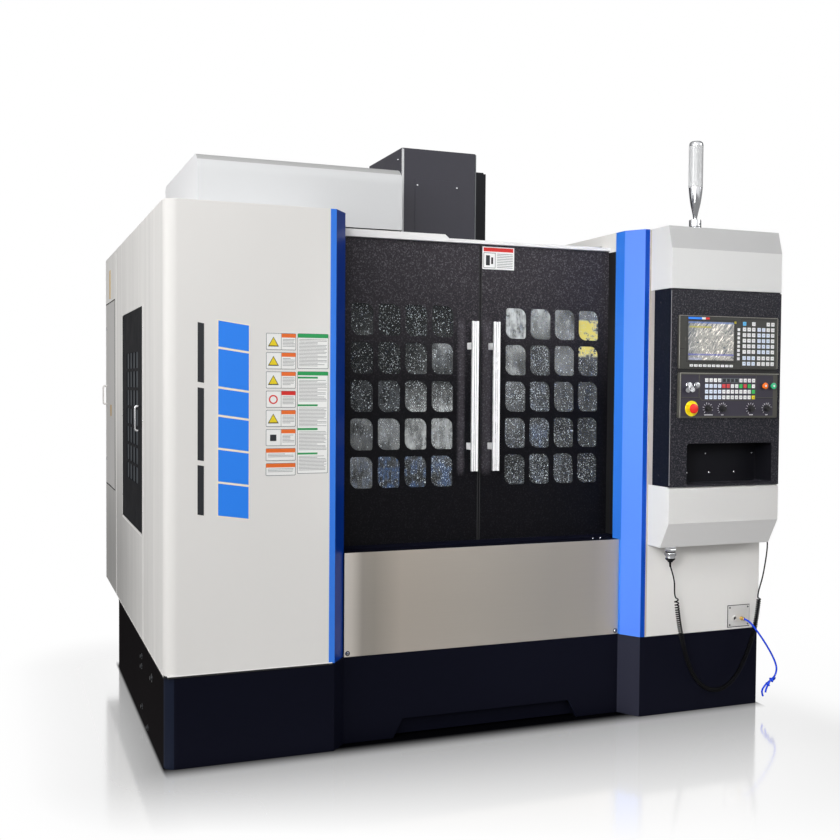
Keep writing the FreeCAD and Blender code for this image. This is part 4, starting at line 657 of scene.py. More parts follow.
def block(low, high, edge=0.0, steps=2):
    """A rectangular solid between two corners in millimetres."""
    low, high = Vector(low) * MM, Vector(high) * MM
    solid = bmesh.new()
    bmesh.ops.create_cube(solid, size=1)
    bmesh.ops.scale(solid, vec=high - low, verts=solid.verts)
    bmesh.ops.translate(solid, vec=(low + high) / 2, verts=solid.verts)
    return rounded(solid, edge, steps)


def slab(outline, thick, edge=0.0):
    """A flat plate from its outline (across, up) on the XZ plane, grown towards -Y."""
    solid = bmesh.new()
    face = solid.faces.new([solid.verts.new(Vector((x, 0, z)) * MM) for x, z in outline])
    grown = bmesh.ops.extrude_face_region(solid, geom=[face])["geom"]
    moved = [v for v in grown if isinstance(v, bmesh.types.BMVert)]
    bmesh.ops.translate(solid, vec=(0, -thick * MM, 0), verts=moved)
    bmesh.ops.recalc_face_normals(solid, faces=solid.faces)
    return rounded(solid, edge)


def spun(profile, steps=32):
    """A turned solid about Z from (radius, height) points in millimetres, from one pole to the other."""
    solid = bmesh.new()
    verts = [solid.verts.new((r * MM, 0, h * MM)) for r, h in profile]
    edges = [solid.edges.new(pair) for pair in zip(verts, verts[1:])]
    bmesh.ops.spin(
        solid, geom=verts + edges, cent=(0, 0, 0), axis=(0, 0, 1), dvec=(0, 0, 0),
        angle=math.tau, steps=steps, use_merge=True, use_duplicate=False,
    )
    bmesh.ops.remove_doubles(solid, verts=solid.verts, dist=1e-6)
    bmesh.ops.recalc_face_normals(solid, faces=solid.faces)
    return solid


def at(*place):
    return Matrix.Translation(Vector(place) * MM)


def facing(way, place):
    """Turns a piece made about +Z so that it looks along way from a place in millimetres."""
    return at(*place) @ Vector(way).to_track_quat("Z", "Y").to_matrix().to_4x4()


def turned(degrees, axis):
    return Matrix.Rotation(math.radians(degrees), 4, axis)


class Piece:
    """An object under construction: solids in millimetres, each in a finish of its own."""

    def __init__(self, name):
        self.name, self.mesh, self.finishes = name, bmesh.new(), []

    def slot(self, finish):
        if finish not in self.finishes:
            self.finishes.append(finish)
        return self.finishes.index(finish)

    def put(self, solid, finish, *places):
        """Adds a solid, at one place or at several."""
        for face in solid.faces:
            face.material_index = self.slot(finish)
        data = bpy.data.meshes.new("solid")
        for place in places or [Matrix()]:
            copy = solid.copy()
            bmesh.ops.transform(copy, matrix=place, verts=copy.verts)
            copy.to_mesh(data)
            copy.free()
            self.mesh.from_mesh(data)
        bpy.data.meshes.remove(data)
        solid.free()

    def blocks(self, finish, *boxes, edge=0.0, steps=1):
        """Adds blocks given by the six numbers of their two corners."""
        for box in boxes:
            self.put(block(box[:3], box[3:], edge, steps), finish)

    def fasten(self, solid, finish, way, spots):
        self.put(solid, finish, *[facing(way, spot) for spot in spots])

    def done(self, body, *replaced):
        data = bpy.data.meshes.new(self.name)
        self.mesh.to_mesh(data)
        self.mesh.free()
        for finish in self.finishes:
            data.materials.append(FINISH[finish])
        data.shade_smooth()
        data.set_sharp_from_angle(angle=math.radians(40))
        made = added(self.name, data)
        made.modifiers.new("flat_faces", "WEIGHTED_NORMAL").keep_sharp = True
        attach(made, body)
        if replaced:
            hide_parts(*replaced)
        return made


def softened(node, edge, finish, paint=None, cuts=(), steps=2):
    """The node's shape with its edges rounded, as folded sheet, castings and mouldings have them.

    cuts are planes (point, normal) that divide faces where the colour changes; paint gives a face's finish.
    """
    piece = Piece(node + "_dressed")
    piece.slot(finish)
    mesh = piece.mesh
    mesh.from_mesh(nodes[node].data)
    bmesh.ops.remove_doubles(mesh, verts=mesh.verts, dist=1e-5)
    bmesh.ops.dissolve_limit(mesh, angle_limit=math.radians(0.5), verts=mesh.verts, edges=mesh.edges)
    rounded(mesh, edge, steps, 28)
    for point, normal in cuts:
        whole = mesh.verts[:] + mesh.edges[:] + mesh.faces[:]
        bmesh.ops.bisect_plane(mesh, geom=whole, dist=1e-6, plane_co=Vector(point) * MM, plane_no=normal)
    for face in mesh.faces:
        chosen = paint(face.calc_center_median() / MM, face.normal) if paint else None
        face.material_index = piece.slot(chosen or finish)
    made = piece.done(body_of(nodes[node])[0], node)
    mark = made.data.attributes.get("custom_normal")
    if mark:
        made.data.attributes.remove(mark)


def dress(finish, names, edge, steps=2):
    for name in names.split():
        softened(name, edge, finish, steps=steps)


# ---------------------------------------------------------------- cords
# the cords' routes, in millimetres
LEAD = [
    (766, -1090, 670), (767, -1090, 652), (780, -1089, 620), (793, -1085, 582), (797.1, -1078.8, 542.8),
]
COIL = [
    (800, -1086, 523), (810, -1085, 455), (820, -1085, 395), (833, -1085, 340), (847, -1085, 283), (868, -1085, 225),
    (900, -1085, 164), (950, -1085, 116), (1007, -1085, 98), (1062, -1085, 108), (1110, -1083, 142),
    (1146, -1082, 192), (1176, -1080, 248), (1202, -1078, 306), (1220, -1076, 366), (1235, -1073, 428),
    (1244, -1070, 492),
]
TAIL = [
    (1246.8, -1061.6, 511.8), (1268, -1060, 566), (1285, -1054, 622), (1301, -1046, 676), (1313, -1036, 726),
    (1316, -1016, 780), (1303.5, -995, 832), (1303.5, -995, 860),
]
HOSE = [
    (1184, -1049, 389), (1184, -1071, 389), (1191, -1092, 375), (1210, -1107, 344), (1240, -1119, 298),
    (1272, -1127, 244), (1290, -1129, 208), (1298, -1130, 180), (1292, -1129, 152), (1274, -1128, 134),
    (1254, -1126, 122), (1238, -1123, 106), (1228, -1121, 90), (1228, -1120, 76), (1234, -1120, 62),
]
WIRE, SWING, CURLS, PER_CURL = 0.006, 0.0075, 104, 14


def spline_curve(name, points, radius=0.0, finish=None, along=4, around=2):
    """A curve whose one smooth spline is drawn by these points in millimetres, with its radius in metres."""
    curve = bpy.data.curves.new(name, "CURVE")
    curve.dimensions = "3D"
    line = curve.splines.new("NURBS")
    line.points.add(len(points) - 1)
    for point, place in zip(line.points, points):
        point.co = (*Vector(place) * MM, 1)
    line.order_u, line.use_endpoint_u = 3, True
    curve.resolution_u = along
    curve.bevel_depth, curve.bevel_resolution = radius, around
    curve.use_fill_caps = radius > 0
    if finish:
        curve.materials.append(FINISH[finish])
    return added(name, curve)


def meshed(guide):
    """The mesh that a curve draws, as a solid; the curve goes."""
    mesh = bpy.data.meshes.new_from_object(guide)
    solid = bmesh.new()
    solid.from_mesh(mesh)
    bpy.data.objects.remove(guide)
    bpy.data.meshes.remove(mesh)
    return solid


def tubing(points, radius):
    """A round tube along the smooth line that these points draw, in millimetres."""
    return meshed(spline_curve("tube_line", points, radius * MM, None, 5, 3))


def curls_along(route):
    """The helix of the curly stretch, wound about the route's own smooth line."""
    guide = meshed(spline_curve("coil_axis", route, along=40))
    line = [vertex.co.copy() for vertex in guide.verts]
    guide.free()
    total = sum((b - a).length for a, b in zip(line, line[1:]))
    radius = SWING / (0.75 + 0.25 * math.cos(math.tau / PER_CURL))
    step, gone, turn = 0.0002, 0.0, 0.0
    straight, ramp = 0.006, 0.0098  # how far each end runs straight, and how soon it curls at full pace
    side, marks = Vector((0, 1, 0)), []
    for a, b in zip(line, line[1:]):
        way = (b - a).normalized()
        side = (side - way * side.dot(way)).normalized()
        pieces = max(1, round((b - a).length / step))
        share = (b - a).length / pieces
        for k in range(pieces):
            near = min(gone, total - gone)
            pace = min(max((near - straight) / ramp, 0.0), 1.0)
            tight = 0.55 + 0.45 * min(max((gone - 0.02) / 0.05, 0.0), 1.0)  # the first curls hang wider apart
            turn += share * pace * tight
            gone += share
            marks.append((turn, a + way * (share * (k + 1)), side.copy(), way))
    points, wanted, scale = [], 0, math.tau * CURLS / turn
    for turn, centre, side, way in marks:
        while turn * scale >= wanted * math.tau / PER_CURL and wanted <= CURLS * PER_CURL:
            angle = wanted * math.tau / PER_CURL
            points.append((centre + radius * (side * math.cos(angle) + way.cross(side) * math.sin(angle))) / MM)
            wanted += 1
    return points


def cable_gland():
    """The gland under the lower box: a hexagon, a ribbed nut and its seals."""
    gland, top, wider = Piece("cable_gland"), (766, -1090, 737), Matrix.Diagonal((1.22, 1.22, 1, 1))
    hung = facing(DOWN, top) @ wider
    gland.put(spun([
        (0, 0), (21, 0), (21, 1), (19.6, 3), (19.6, 10), (21, 12), (21, 13), (0, 13),
    ], 6), "chrome", hung)
    gland.put(spun([
        (0, 12.5), (16, 12.5), (17.6, 14), (17.6, 21), (16.4, 22.4), (16.4, 24), (18.6, 26), (19.4, 28),
        (19.4, 39), (18.6, 41), (16.4, 42), (16.4, 43.4), (17.6, 45), (16.4, 50), (0, 50),
    ], 40), "chrome", hung)
    ridge = block((-0.8, -20.4, -38), (0.8, -19, -28.6), 0.3, 1)
    gland.put(ridge, "chrome", *[at(*top) @ wider @ turned(15 * k, "Z") for k in range(24)])
    gland.put(spun([
        (16.2, 21), (17.9, 21), (18.1, 22.2), (17.9, 23.6), (16.2, 23.6), (16.2, 21),
    ], 40), "rubber", hung)
    gland.put(spun([
        (0, 49), (16.6, 49), (17.2, 50.5), (17.2, 54), (14.4, 58), (10.6, 61), (8, 66.8), (3.4, 67), (0, 67),
    ], 32), "rubber", hung)
    return gland.done("frame", "cord_gland")


def lay_cords():
    control = spline_curve("control_cord", LEAD + curls_along(COIL) + TAIL, WIRE / 2, "rubber", along=3, around=2)
    hose = spline_curve("blue_air_hose", HOSE, 0.004, "hose", along=10, around=4)
    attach(control, "frame")
    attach(hose, "frame")
    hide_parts("cord_lead", "cord_coil", "cord_tail")
    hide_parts("air_hose")

    gland_made = cable_gland()
    boot = Piece("cord_strain_relief")
    boot.put(spun([
        (0, 0), (5.4, 0), (5.0, 4), (4.4, 5), (4.9, 6), (4.5, 11), (4.0, 12), (4.3, 13), (3.6, 21), (0, 21),
    ], 20), "rubber", facing((0.02, 0, -1), (766, -1090, 671)))
    boot_made = boot.done("frame")

    knot = Piece("hose_knot")
    knot.put(tubing([
        (1284, -1122, 128), (1287, -1132, 136), (1280, -1139, 146), (1266, -1139, 142), (1256, -1135, 128),
        (1249, -1133, 112), (1243, -1131, 98), (1240, -1130, 88), (1239, -1130, 80),
    ], 4), "hose")
    for middle, way, reach in (((1268, -1132, 133), (-0.8, 0, -0.55), 9.5), ((1252, -1129, 115), (-0.6, 0, -0.8), 9)):
        eighths = [(k, k * math.tau / 8) for k in range(10)]
        ring = [(reach * math.cos(turn), 0.9 * reach * math.sin(turn), 0.6 * k - 2.4) for k, turn in eighths]
        knot.put(tubing(ring, 3.2), "hose", facing(way, middle))
    knot_made = knot.done("frame")


lay_cords()


# ---------------------------------------------------------------- the shells, doors and castings
def head_paint(centre, normal):
    # painted shade: the head's bevel that faces up and forwards takes a darker copy of its coat
    return "column_bevel" if normal.y < -0.3 and normal.z > 0.15 else None


def box_paint(centre, normal):
    # lit and shaded copies of the box's coat: its sloped facet and left faces take tones of their own, lighter than
    # its front
    if normal.y < -0.3 and normal.z < -0.15:
        return "column_slope"
    return "column_coat" if normal.x < -0.7 else None


def magazine_paint(centre, normal):
    # painted light and shade: the cover's left faces take a lighter copy of its coat, its top a darker one
    if normal.x < -0.6:
        return "cover_side"
    return "cover_top" if normal.z > 0.6 else None


def base_paint(centre, normal):
    # painted highlights: lighter copies of the coat on the faces that turn from front to left, at the left corner and
    # the right fold
    if normal.x < -0.25 and normal.y < -0.25:
        return "base_fold" if centre.x > 400 else "base_corner"
    # painted shade: the base's left face takes its own matt, less blue copy of the coat
    return "base_side" if normal.x < -0.8 and centre.x < -1300 else None


def housing_paint(centre, normal):
    # painted shade: the left face takes a darker, bluer copy of the housing's coat, and its rear part a darker copy
    # of the pale coat
    if normal.x < -0.7 and centre.x < 720:
        return "return_grey" if centre.y > -1054 else "housing_side"
    inside = 735 < centre.x < 1222 and 1010 < centre.z < 1172 and centre.y > -1172
    return "pocket" if inside else None


dress("panel", "right_shell", 1.2)
dress("left_wall", "left_shell", 1.2)
dress("rear_door_coat", "rear_door", 1.2)
softened("control_head", 2.2, "column_coat", head_paint, steps=3)
softened("control_lower_box", 2.2, "box_coat", box_paint, steps=3)
dress("panel", "electric_cabinet", 1.2)
dress("rail_coat", "top_rail", 1.2)
dress("panel", "rear_door_handle", 3)
dress("cover", "roof_left", 1.2)
softened("magazine_cover", 1.2, "cover", magazine_paint)
softened("base_skirt", 3, "base", base_paint, steps=3)
dress("base", "coolant_tank door_sill", 1)
dress("black_door", "door_left door_right", 1.2)
dress("side_black", "side_door", 1.2)
softened("control_housing", 2, "housing", housing_paint, [((0, -1054, 0), (0, 1, 0))], steps=3)
dress("left_blue", "left_trim", 1)
dress("right_blue", "right_trim", 1)
dress("panel_steel", "front_panel", 1)
dress("cover_grey", "head_cover", 1.6)
dress("chrome", "side_door_handle", 2.5, 3)
dress("casting", "bed saddle", 4)
dress("casting", "spindle_head", 5)
dress("steel", "table spindle", 1.2)
dress("steel", "tool_disc", 0.8)
dress("cover", "carousel_carrier", 2)
duct = Piece("duct_cover")
duct.blocks("duct", (300, 108, 1990, 443, 240, 2484), edge=2, steps=2)
duct.done("frame")
softened("column", 3, "casting", lambda c, n: "duct" if c.x > 279 else None, [((281, 0, 0), (1, 0, 0))])

for finish, names in (
    ("galvanised", "chip_tray work_area_back"), ("steel", "levelling_feet guide_rails"),
    ("glass", "door_left_glass door_right_glass"), ("slot", "side_door_glass"), ("screen", "screen"),
):
    for name in names.split():
        mesh = nodes[name].data
        mesh.materials.clear()
        mesh.materials.append(FINISH[finish])


# ---------------------------------------------------------------- fasteners
def pan_head(r):
    """A socket-head button screw."""
    return spun([
        (0, 0.2 * r), (0.42 * r, 0.2 * r), (0.42 * r, 0.62 * r), (0.66 * r, 0.6 * r), (0.9 * r, 0.36 * r),
        (r, 0.1 * r), (r, -0.2 * r), (0, -0.2 * r),
    ], 14)


def hex_head(r):
    """A hexagon bolt on its washer."""
    return spun([(0, 0.9 * r), (0.72 * r, 0.9 * r), (r, 0.78 * r), (r, 0.15 * r), (0, 0.15 * r)], 6)


def quarter_lock():
    return spun([(0, 1.5), (4.4, 1.5), (4.4, 4), (9, 4), (11, 2.6), (11, -0.3), (0, -0.3)], 28)


def washer(r):
    return spun([(0, 0.2 * r), (1.3 * r, 0.2 * r), (1.4 * r, 0.1 * r), (1.4 * r, -0.1 * r), (0, -0.1 * r)], 24)


def fit_fasteners():
    bolts = Piece("base_bolts")
    low, corner = [(-1322, -346, 269), (-1322, -345, 227), (-1322, -361, 62), (-1322, -536, 24)], [(-1322, -657, 256)]
    for solid, spots in ((hex_head(9), low), (washer(9), low), (hex_head(10), corner), (washer(12), corner)):
        bolts.fasten(solid, "dark_steel", LEFT, spots)
    bolts.done("frame")

    screws = Piece("panel_screws")
    front_panel = [(-608, -930, 357), (600, -930, 357)]
    screws.fasten(pan_head(6.5), "chrome", FRONT, front_panel)
    screws.fasten(washer(7), "dark_steel", FRONT, front_panel)
    pocket = ((951, 1125), (858, 1044), (972, 1044), (1192, 1125), (1100, 1044))
    back = [(x, z) for x in (-890, 1255) for z in range(460, 2000, 220)]
    back += [(x, z) for x in range(-1290, -880, 100) for z in (365, 2050)]
    for radius, finish, way, spots in (
        (4, "dark_steel", FRONT, [(x, -1027, z) for x in (1123, 1218) for z in (363, 439)]),
        (4.5, "chrome", UP, [(520, -869, 752.2), (556, -869, 752.2)]),
        (3.2, "chrome", LEFT, [(-1324, y, z) for y in (-395, 372) for z in (880, 1254, 1640)]),
        (3.2, "dark_steel", LEFT, [(695, -1100, z) for z in (1040, 1400, 1760)]),
        (3.2, "dark_steel", RIGHT, [(1250, -1100, z) for z in (1040, 1400, 1760)]),
        (4, "chrome", FRONT, [(x, -1066, z) for x, z in pocket]),
        (3.6, "steel", BACK, [(x, 1203.6, z) for x, z in back]),
        (3.6, "steel", UP, [(x, y, 2073) for x in (-1290, -1160) for y in (-900, -420, 60, 400)]),
        (3.6, "steel", RIGHT, [(1277, y, z) for y in (-820, -300, 300, 900, 1150) for z in (380, 1200, 2040)]),
    ):
        screws.fasten(pan_head(radius), finish, way, spots)
    screws.done("frame")

    cover = Piece("head_cover_plate")
    cover.blocks("cover_grey", (-118, -353.2, 1700, 96, -350.5, 2340), edge=1.0, steps=2)
    cover.fasten(pan_head(5), "chrome", FRONT, [(x, -353.2, z) for z in (2312, 1728) for x in (-108, 86)])
    cover.fasten(pan_head(5), "chrome", LEFT, [(-182, -300, 2430), (-182, 60, 2430)])
    # painted highlights: a pale strip down the cover's left edge and a grey one down its right edge
    cover.blocks("cover", (-182.8, -353, 1645, -172, -350.8, 2470), edge=0.4, steps=2)
    cover.blocks("plate_line", (177, -352.6, 1645, 182.6, -350.8, 2470), edge=0.4, steps=2)
    cover.done("head")


fit_fasteners()


# ---------------------------------------------------------------- plain plates and stripes
PANEL = -998  # where the left panel's front face is along Y
TRIANGLE, SQUARE = [(-16, -14), (16, -14), (0, 15)], [(-12, -12), (12, -12), (12, 12), (-12, 12)]
DISC = [(17 * math.cos(k * math.tau / 20), 17 * math.sin(k * math.tau / 20)) for k in range(20)]


def framed(piece, low_x, low_z, high_x, high_z):
    """A white plate with rounded corners and a thin dark rule round its edge."""
    for inset, thick, finish in ((0, 0.8, "plate"), (1.0, 0.95, "plate_edge"), (2.8, 1.1, "plate")):
        x0, z0, x1, z1 = low_x + inset, low_z + inset, high_x - inset, high_z - inset
        c = 3 - inset / 2
        outline = [
            (x0 + c, z0), (x1 - c, z0), (x1, z0 + c), (x1, z1 - c), (x1 - c, z1), (x0 + c, z1), (x0, z1 - c),
            (x0, z0 + c),
        ]
        piece.put(slab(outline, thick), finish, at(0, PANEL, 0))


def rules(piece, low_x, low_z, high_x, high_z, pitch=5.2):
    """Thin grey lines of uneven length that fill a field."""
    chance = random.Random(round(low_z))
    for k in range(int((high_z - low_z) / pitch)):
        z = high_z - (k + 0.6) * pitch
        end = high_x - chance.choice((0, 0, 2, 5, 20)) * (high_x - low_x) / 60
        piece.blocks("plate_line", (low_x, PANEL - 1.25, z, end, PANEL - 0.9, z + 1.5))


def fit_plates():
    """Bare plates with plain bands of colour, and rows of plain blocks, where the panels carry their print."""
    plates = Piece("left_panel_plates")

    def band(finish, x0, z0, x1, z1):
        plates.blocks(finish, (x0, PANEL - 1.3, z0, x1, PANEL - 0.9, z1), edge=0.1)

    top = 1600
    caution = (TRIANGLE, "sign_yellow", "plate_orange")
    stop, bare = (DISC, "plate_red", "plate_red"), (SQUARE, "stripe_black", "plate_orange")
    for mark, tint, colour in (caution, caution, caution, stop, caution, bare):
        low = top - 64.7
        middle = (low + top) / 2 - 1
        framed(plates, -953, low, -837, top)
        plates.blocks("plate_line", (-895, PANEL - 1.25, low + 3, -893.6, PANEL - 0.9, top - 3))
        band(colour, -893, top - 17, -839, top - 2.6)
        if mark is TRIANGLE:
            edge = [(x * 1.3, z * 1.26) for x, z in mark]
            plates.put(slab(edge, 0.2), "stripe_black", at(-924, PANEL - 1.0, middle))
        plates.put(slab(mark, 0.4), tint, at(-924, PANEL - 1.0, middle))
        if mark is DISC:
            plates.put(slab([(x * 0.7, z * 0.7) for x, z in mark], 0.2), "plate", at(-924, PANEL - 1.35, middle))
        rules(plates, -889, low + 12, -843, top - 21)
        top -= 71.5
    for _ in range(2):
        low = top - 48.8
        framed(plates, -953, low, -837, top)
        band("plate_orange", -951, top - 17, -839, top - 2.6)
        rules(plates, -944, low + 10, -846, top - 20)
        top -= 55.6
    framed(plates, -833, 1467, -711, 1601)
    framed(plates, -833, 1072, -711, 1459)
    for z0, z1, x1 in (
        (1584, 1599, -713), (1443, 1457, -713), (1431, 1438, -753), (1327, 1334, -753), (1237, 1245, -753),
        (1145, 1152, -753),
    ):
        band("plate_green", -831, z0, x1, z1)
    for z0, z1 in ((1472, 1580), (1340, 1427), (1250, 1323), (1158, 1233), (1080, 1141)):
        rules(plates, -826, z0, -718, z1)
    plates.done("frame")

    stripes = Piece("left_panel_stripes")

    def stripe(finish, x0, x1, z0, z1, drop, thick):
        outline = [(x0, z0), (x1, z0 - drop), (x1, z1 - drop), (x0, z1)]
        stripes.put(slab(outline, thick), finish, at(0, PANEL, 0))

    for z0, z1 in ((1545, 1640), (1400, 1537), (1297, 1392), (1176, 1289), (1052, 1168), (926, 1044)):
        for grow, thick, finish in ((4, 0.6, "stripe_cream"), (0, 0.9, "stripe_blue")):
            stripe(finish, -1129 - grow, -1016 + grow, z0 - grow, z1 + grow, 16, thick)
    for z0, z1 in ((1416, 1632), (1131, 1396), (932, 1113)):
        stripe("stripe_black", -1204, -1181, z0, z1, 4, 0.8)
    stripes.done("frame")

    small = Piece("door_plate")
    small.blocks("plate", (8, -815, 1896, 155, -814, 1990), edge=0.3)
    small.blocks("plate_red", (13, -815.3, 1970, 150, -814.8, 1986), edge=0.15)
    small.blocks("plate_line", (13, -815.2, 1901, 68, -814.8, 1965), edge=0.15)
    small.blocks("plate", (15, -815.3, 1903, 66, -814.9, 1963), edge=0.15)
    small.blocks(
        "stripe_black", (24, -815.5, 1912, 42, -815.1, 1954), (48, -815.5, 1918, 57, -815.1, 1946), edge=0.15,
    )
    small.blocks("plate_line", *[(75, -815.3, z, 148, -814.9, z + 2) for z in range(1904, 1964, 7)])
    small.done("door_right")


fit_plates()


# ---------------------------------------------------------------- bars, seams and door edges
BAR_LOW, BAR_HIGH = 1056, 1674


def fit_bars():
    """A fluted flat bar on two blocks for each door; its edge flutes, middle line and blocks are near-white painted
    highlights.
    """
    for side, name in ((-1, "left"), (1, "right")):
        bar = Piece(f"door_{name}_bar")
        low, high = sorted((side * 63, side * 34))
        middle = (low + high) / 2
        bar.blocks("bar_chrome", (low, -880.6, BAR_LOW, high, -869, BAR_HIGH), edge=1.5, steps=2)
        # painted highlights: near-white flutes along the bar's edges, a line down its middle and the blocks it stands
        # on
        flutes = [(x, -883, BAR_LOW, x + 8.5, -878, BAR_HIGH) for x in (low, high - 8.5)]
        bar.blocks("bar_bright", *flutes, edge=1.6, steps=2)
        bar.blocks("bar_bright", (middle - 1.6, -882, BAR_LOW + 2, middle + 1.6, -880, BAR_HIGH - 2), edge=0.6)
        feet = [(middle - 10, -870, z - 14, middle + 10, -814.2, z + 14) for z in (1157, 1573)]
        bar.blocks("bar_bright", *feet, edge=2, steps=2)
        bar.done("door_" + name, f"door_{name}_handle")
        edge = Piece(f"door_{name}_meeting_edge")
        low, high = sorted((side * 2, side * 7))
        edge.blocks("groove", (low, -814.5, 760, high, -813, 1995), edge=0.2)
        edge.done("door_" + name)


def fit_seams():
    """Folded edges and seams of the left wall, the shadow gap above the base with a painted highlight along the
    shell's edge over it, and a dark strip beside the right door.
    """
    wall = -1325  # the left wall's outer face along X
    lines = Piece("wall_seams")
    pale = ((355, 779, 383, 1733), (-405, 779, -376, 1733), (-405, 770, 383, 782), (648, 346, 660, 2060))
    for y0, z0, y1, z1 in (*pale, (-400, 346, -392, 770)):
        lines.blocks("seam_pale", (wall, y0, z0, wall + 1.6, y1, z1), edge=0.3)
    for y0, z0, y1, z1 in (
        (-377.5, 784, -374, 1724), (354, 784, 357.5, 1724), (719, 867, 726, 1828), (719, 1829, 1186, 1833),
        (719, 862, 1186, 866),
    ):
        lines.blocks("groove", (wall - 0.2, y0, z0, wall + 1.5, y1, z1), edge=0.2)
    lines.blocks("label_tan", (wall, 946, 1850, wall + 1.6, 1004, 1998), edge=0.3)
    lines.done("frame")
    label = Piece("rear_door_label")
    label.blocks("label_ochre", (wall - 0.4, 908, 1236, wall + 1.2, 954, 1294), edge=0.3)
    label.done("rear_door")
    gap = Piece("base_shadow_gap")
    gap.blocks("groove", (-1312, -999, 337, -690, -990, 343), (-1324.5, -985, 337, -1315, 560, 343), edge=0.5)
    # painted highlight: a pale line along the shell's bottom edge, above the dark gap
    gap.blocks("seam_pale", (-1312, -999.4, 343.2, -690, -992, 346.5), edge=0.6)
    gap.blocks("seam_pale", (wall, -985, 343.2, wall + 1.4, 560, 346), edge=0.4)
    gap.done("frame")
    inner = Piece("right_inner_sheet")
    inner.blocks("panel", (613.4, -873, 2029, 615.4, 440, 2072.5), edge=0.5)
    inner.blocks("groove", (613.4, -873, 766, 615.4, -817, 1992), edge=0.5)
    inner.blocks("panel", (613.4, -873, 1992, 615.4, -756, 2029), edge=0.5)
    # painted shade: a darker, tan copy of the pale coat on the right shell's front edge beside the housing
    inner.blocks("edge_tan", (688.5, -1024.9, 346, 694.8, -1024.1, 2070), edge=0.3)
    inner.done("frame")


fit_bars()
fit_seams()


# ---------------------------------------------------------------- wet windows
# each pane's shares of painted reflection and of coolant specks
PANE_REFLECTION_AND_SPOTS = {
    "left": [
        [(2, 10, 0, 66), (3, 1, 0, 72), (1, 2, 0, 80), (1, 5, 0, 64)],
        [(2, 2, 0, 66), (1, 1, 0, 78), (3, 9, 0, 72), (34, 4, 14, 60)],
        [(1, 1, 14, 70), (1, 2, 20, 68), (2, 30, 0, 78), (1, 42, 0, 76)],
        [(30, 14, 12, 50), (38, 22, 14, 50), (50, 48, 0, 44), (46, 34, 8, 48)],
        [(26, 20, 40, 50), (10, 3, 84, 60), (10, 1, 80, 70), (10, 2, 74, 76)],
    ],
    "right": [
        [(74, 90, 0, 8), (64, 14, 0, 44), (34, 40, 0, 38), (34, 14, 0, 50, 98)],
        [(36, 36, 0, 36), (14, 6, 6, 92), (28, 22, 0, 54), (10, 14, 0, 70, -50)],
        [(18, 10, 12, 78), (10, 2, 34, 99), (14, 12, 0, 70), (12, 10, 0, 66)],
        [(18, 6, 24, 76), (8, 1, 56, 99), (8, 9, 0, 78), (6, 7, 0, 72)],
        [(3, 2, 14, 76), (3, 2, 28, 96), (5, 4, 20, 88), (4, 5, 0, 82)],
    ],
}
PANE_WIDE, PANE_TALL, PANE_LOW, PANE_Y = 116.5, 154.5, 991, -811.6  # the panes' pitch and where their film is
CORNERS = 24  # face corners of one pane's film


def windows_with_reflection_and_drops(name, first, seed):
    """A film of painted reflection with specks of dried coolant, and raised drops, on the panes of one door.

    A pane's shares are hundredths, top row first: the painted reflection's veil above and below, its blue, and
    specks.
    Two panes have painted yellow reflection, which is on the lower half, or on the upper half where it is negative.
    """
    chance = random.Random(seed)
    film, drops = Piece(name + "_window_film"), Piece(name + "_window_drops")
    drops.slot("drop")
    shares = []
    for row in range(5):
        for column in range(4):
            x, z = first + column * PANE_WIDE, PANE_LOW + row * PANE_TALL
            pane_shares = (*PANE_REFLECTION_AND_SPOTS[name][4 - row][column], 0)[:5]
            film.blocks("film", (x - 2, PANE_Y, z - 2, x + 97, PANE_Y + 0.4, z + 130))
            shares.append((z + 64, pane_shares))
            for _ in range(round(pane_shares[3] * 0.3)):
                size = chance.uniform(0.7, 1.4) ** 1.7 * MM
                tall = chance.choice((1, 1, 1, 1.5, 2.4))
                place = at(chance.uniform(x + 5, x + 90), PANE_Y, chance.uniform(z + 6, z + 122))
                place = place @ Matrix.Diagonal((size, size * 0.5, size * tall, 1))
                bmesh.ops.create_icosphere(drops.mesh, subdivisions=1, radius=1, matrix=place)
    data = film.done("door_" + name).data
    reflection_and_spots = data.attributes.new("reflection_and_spots", "FLOAT_COLOR", "CORNER")
    for number, loop in enumerate(data.loops):
        middle, (above, below, blue, crowd, yellow) = shares[number // CORNERS]
        high = data.vertices[loop.vertex_index].co.z > middle * MM
        yellow_reflection = 0 if high == (yellow > 0) else abs(yellow)
        reflection_and_spots.data[number].color = [share / 100 for share in (above if high else below, blue, crowd, yellow_reflection)]
    drops.done("door_" + name)


windows_with_reflection_and_drops("left", -564.5, 11)
windows_with_reflection_and_drops("right", 120, 12)


# ---------------------------------------------------------------- the control column
FACE = -1184.0  # where the operator's panels are along Y
KNOBS, KNOB_Z = (875, 948, 1092, 1174), 1321
STOP, HOLD, START, SWITCHES, SWITCH_Z = 795, 1159, 1202, (779, 819), 1417
PARTS = (  # x, z, reach and finish of what stands out of the operator's panel
    (STOP, KNOB_Z, 33, "yellow"), (SWITCHES[0], SWITCH_Z, 9.5, "steel"), (SWITCHES[1], SWITCH_Z, 9.5, "steel"),
    (HOLD, SWITCH_Z, 14.5, "black_plastic"), (START, SWITCH_Z, 14.5, "black_plastic"),
)
PAD_COLOURS = {
    (4, 2): "key_red", (5, 2): "key_red", (8, 2): "key_green", (9, 2): "key_red", (10, 2): "key_green",
    (11, 1): "key_green", (11, 0): "key_yellow",
}


def letter_finish(column, row):
    """Row 0 is the lowest."""
    if row == 7 and column == 0:
        return "key_blue"
    pale = (2 <= row <= 6 and 3 <= column <= 5) or (row < 2 and column < 3)
    return "key_pale" if pale and (row < 6 or column < 5) else "key_white"


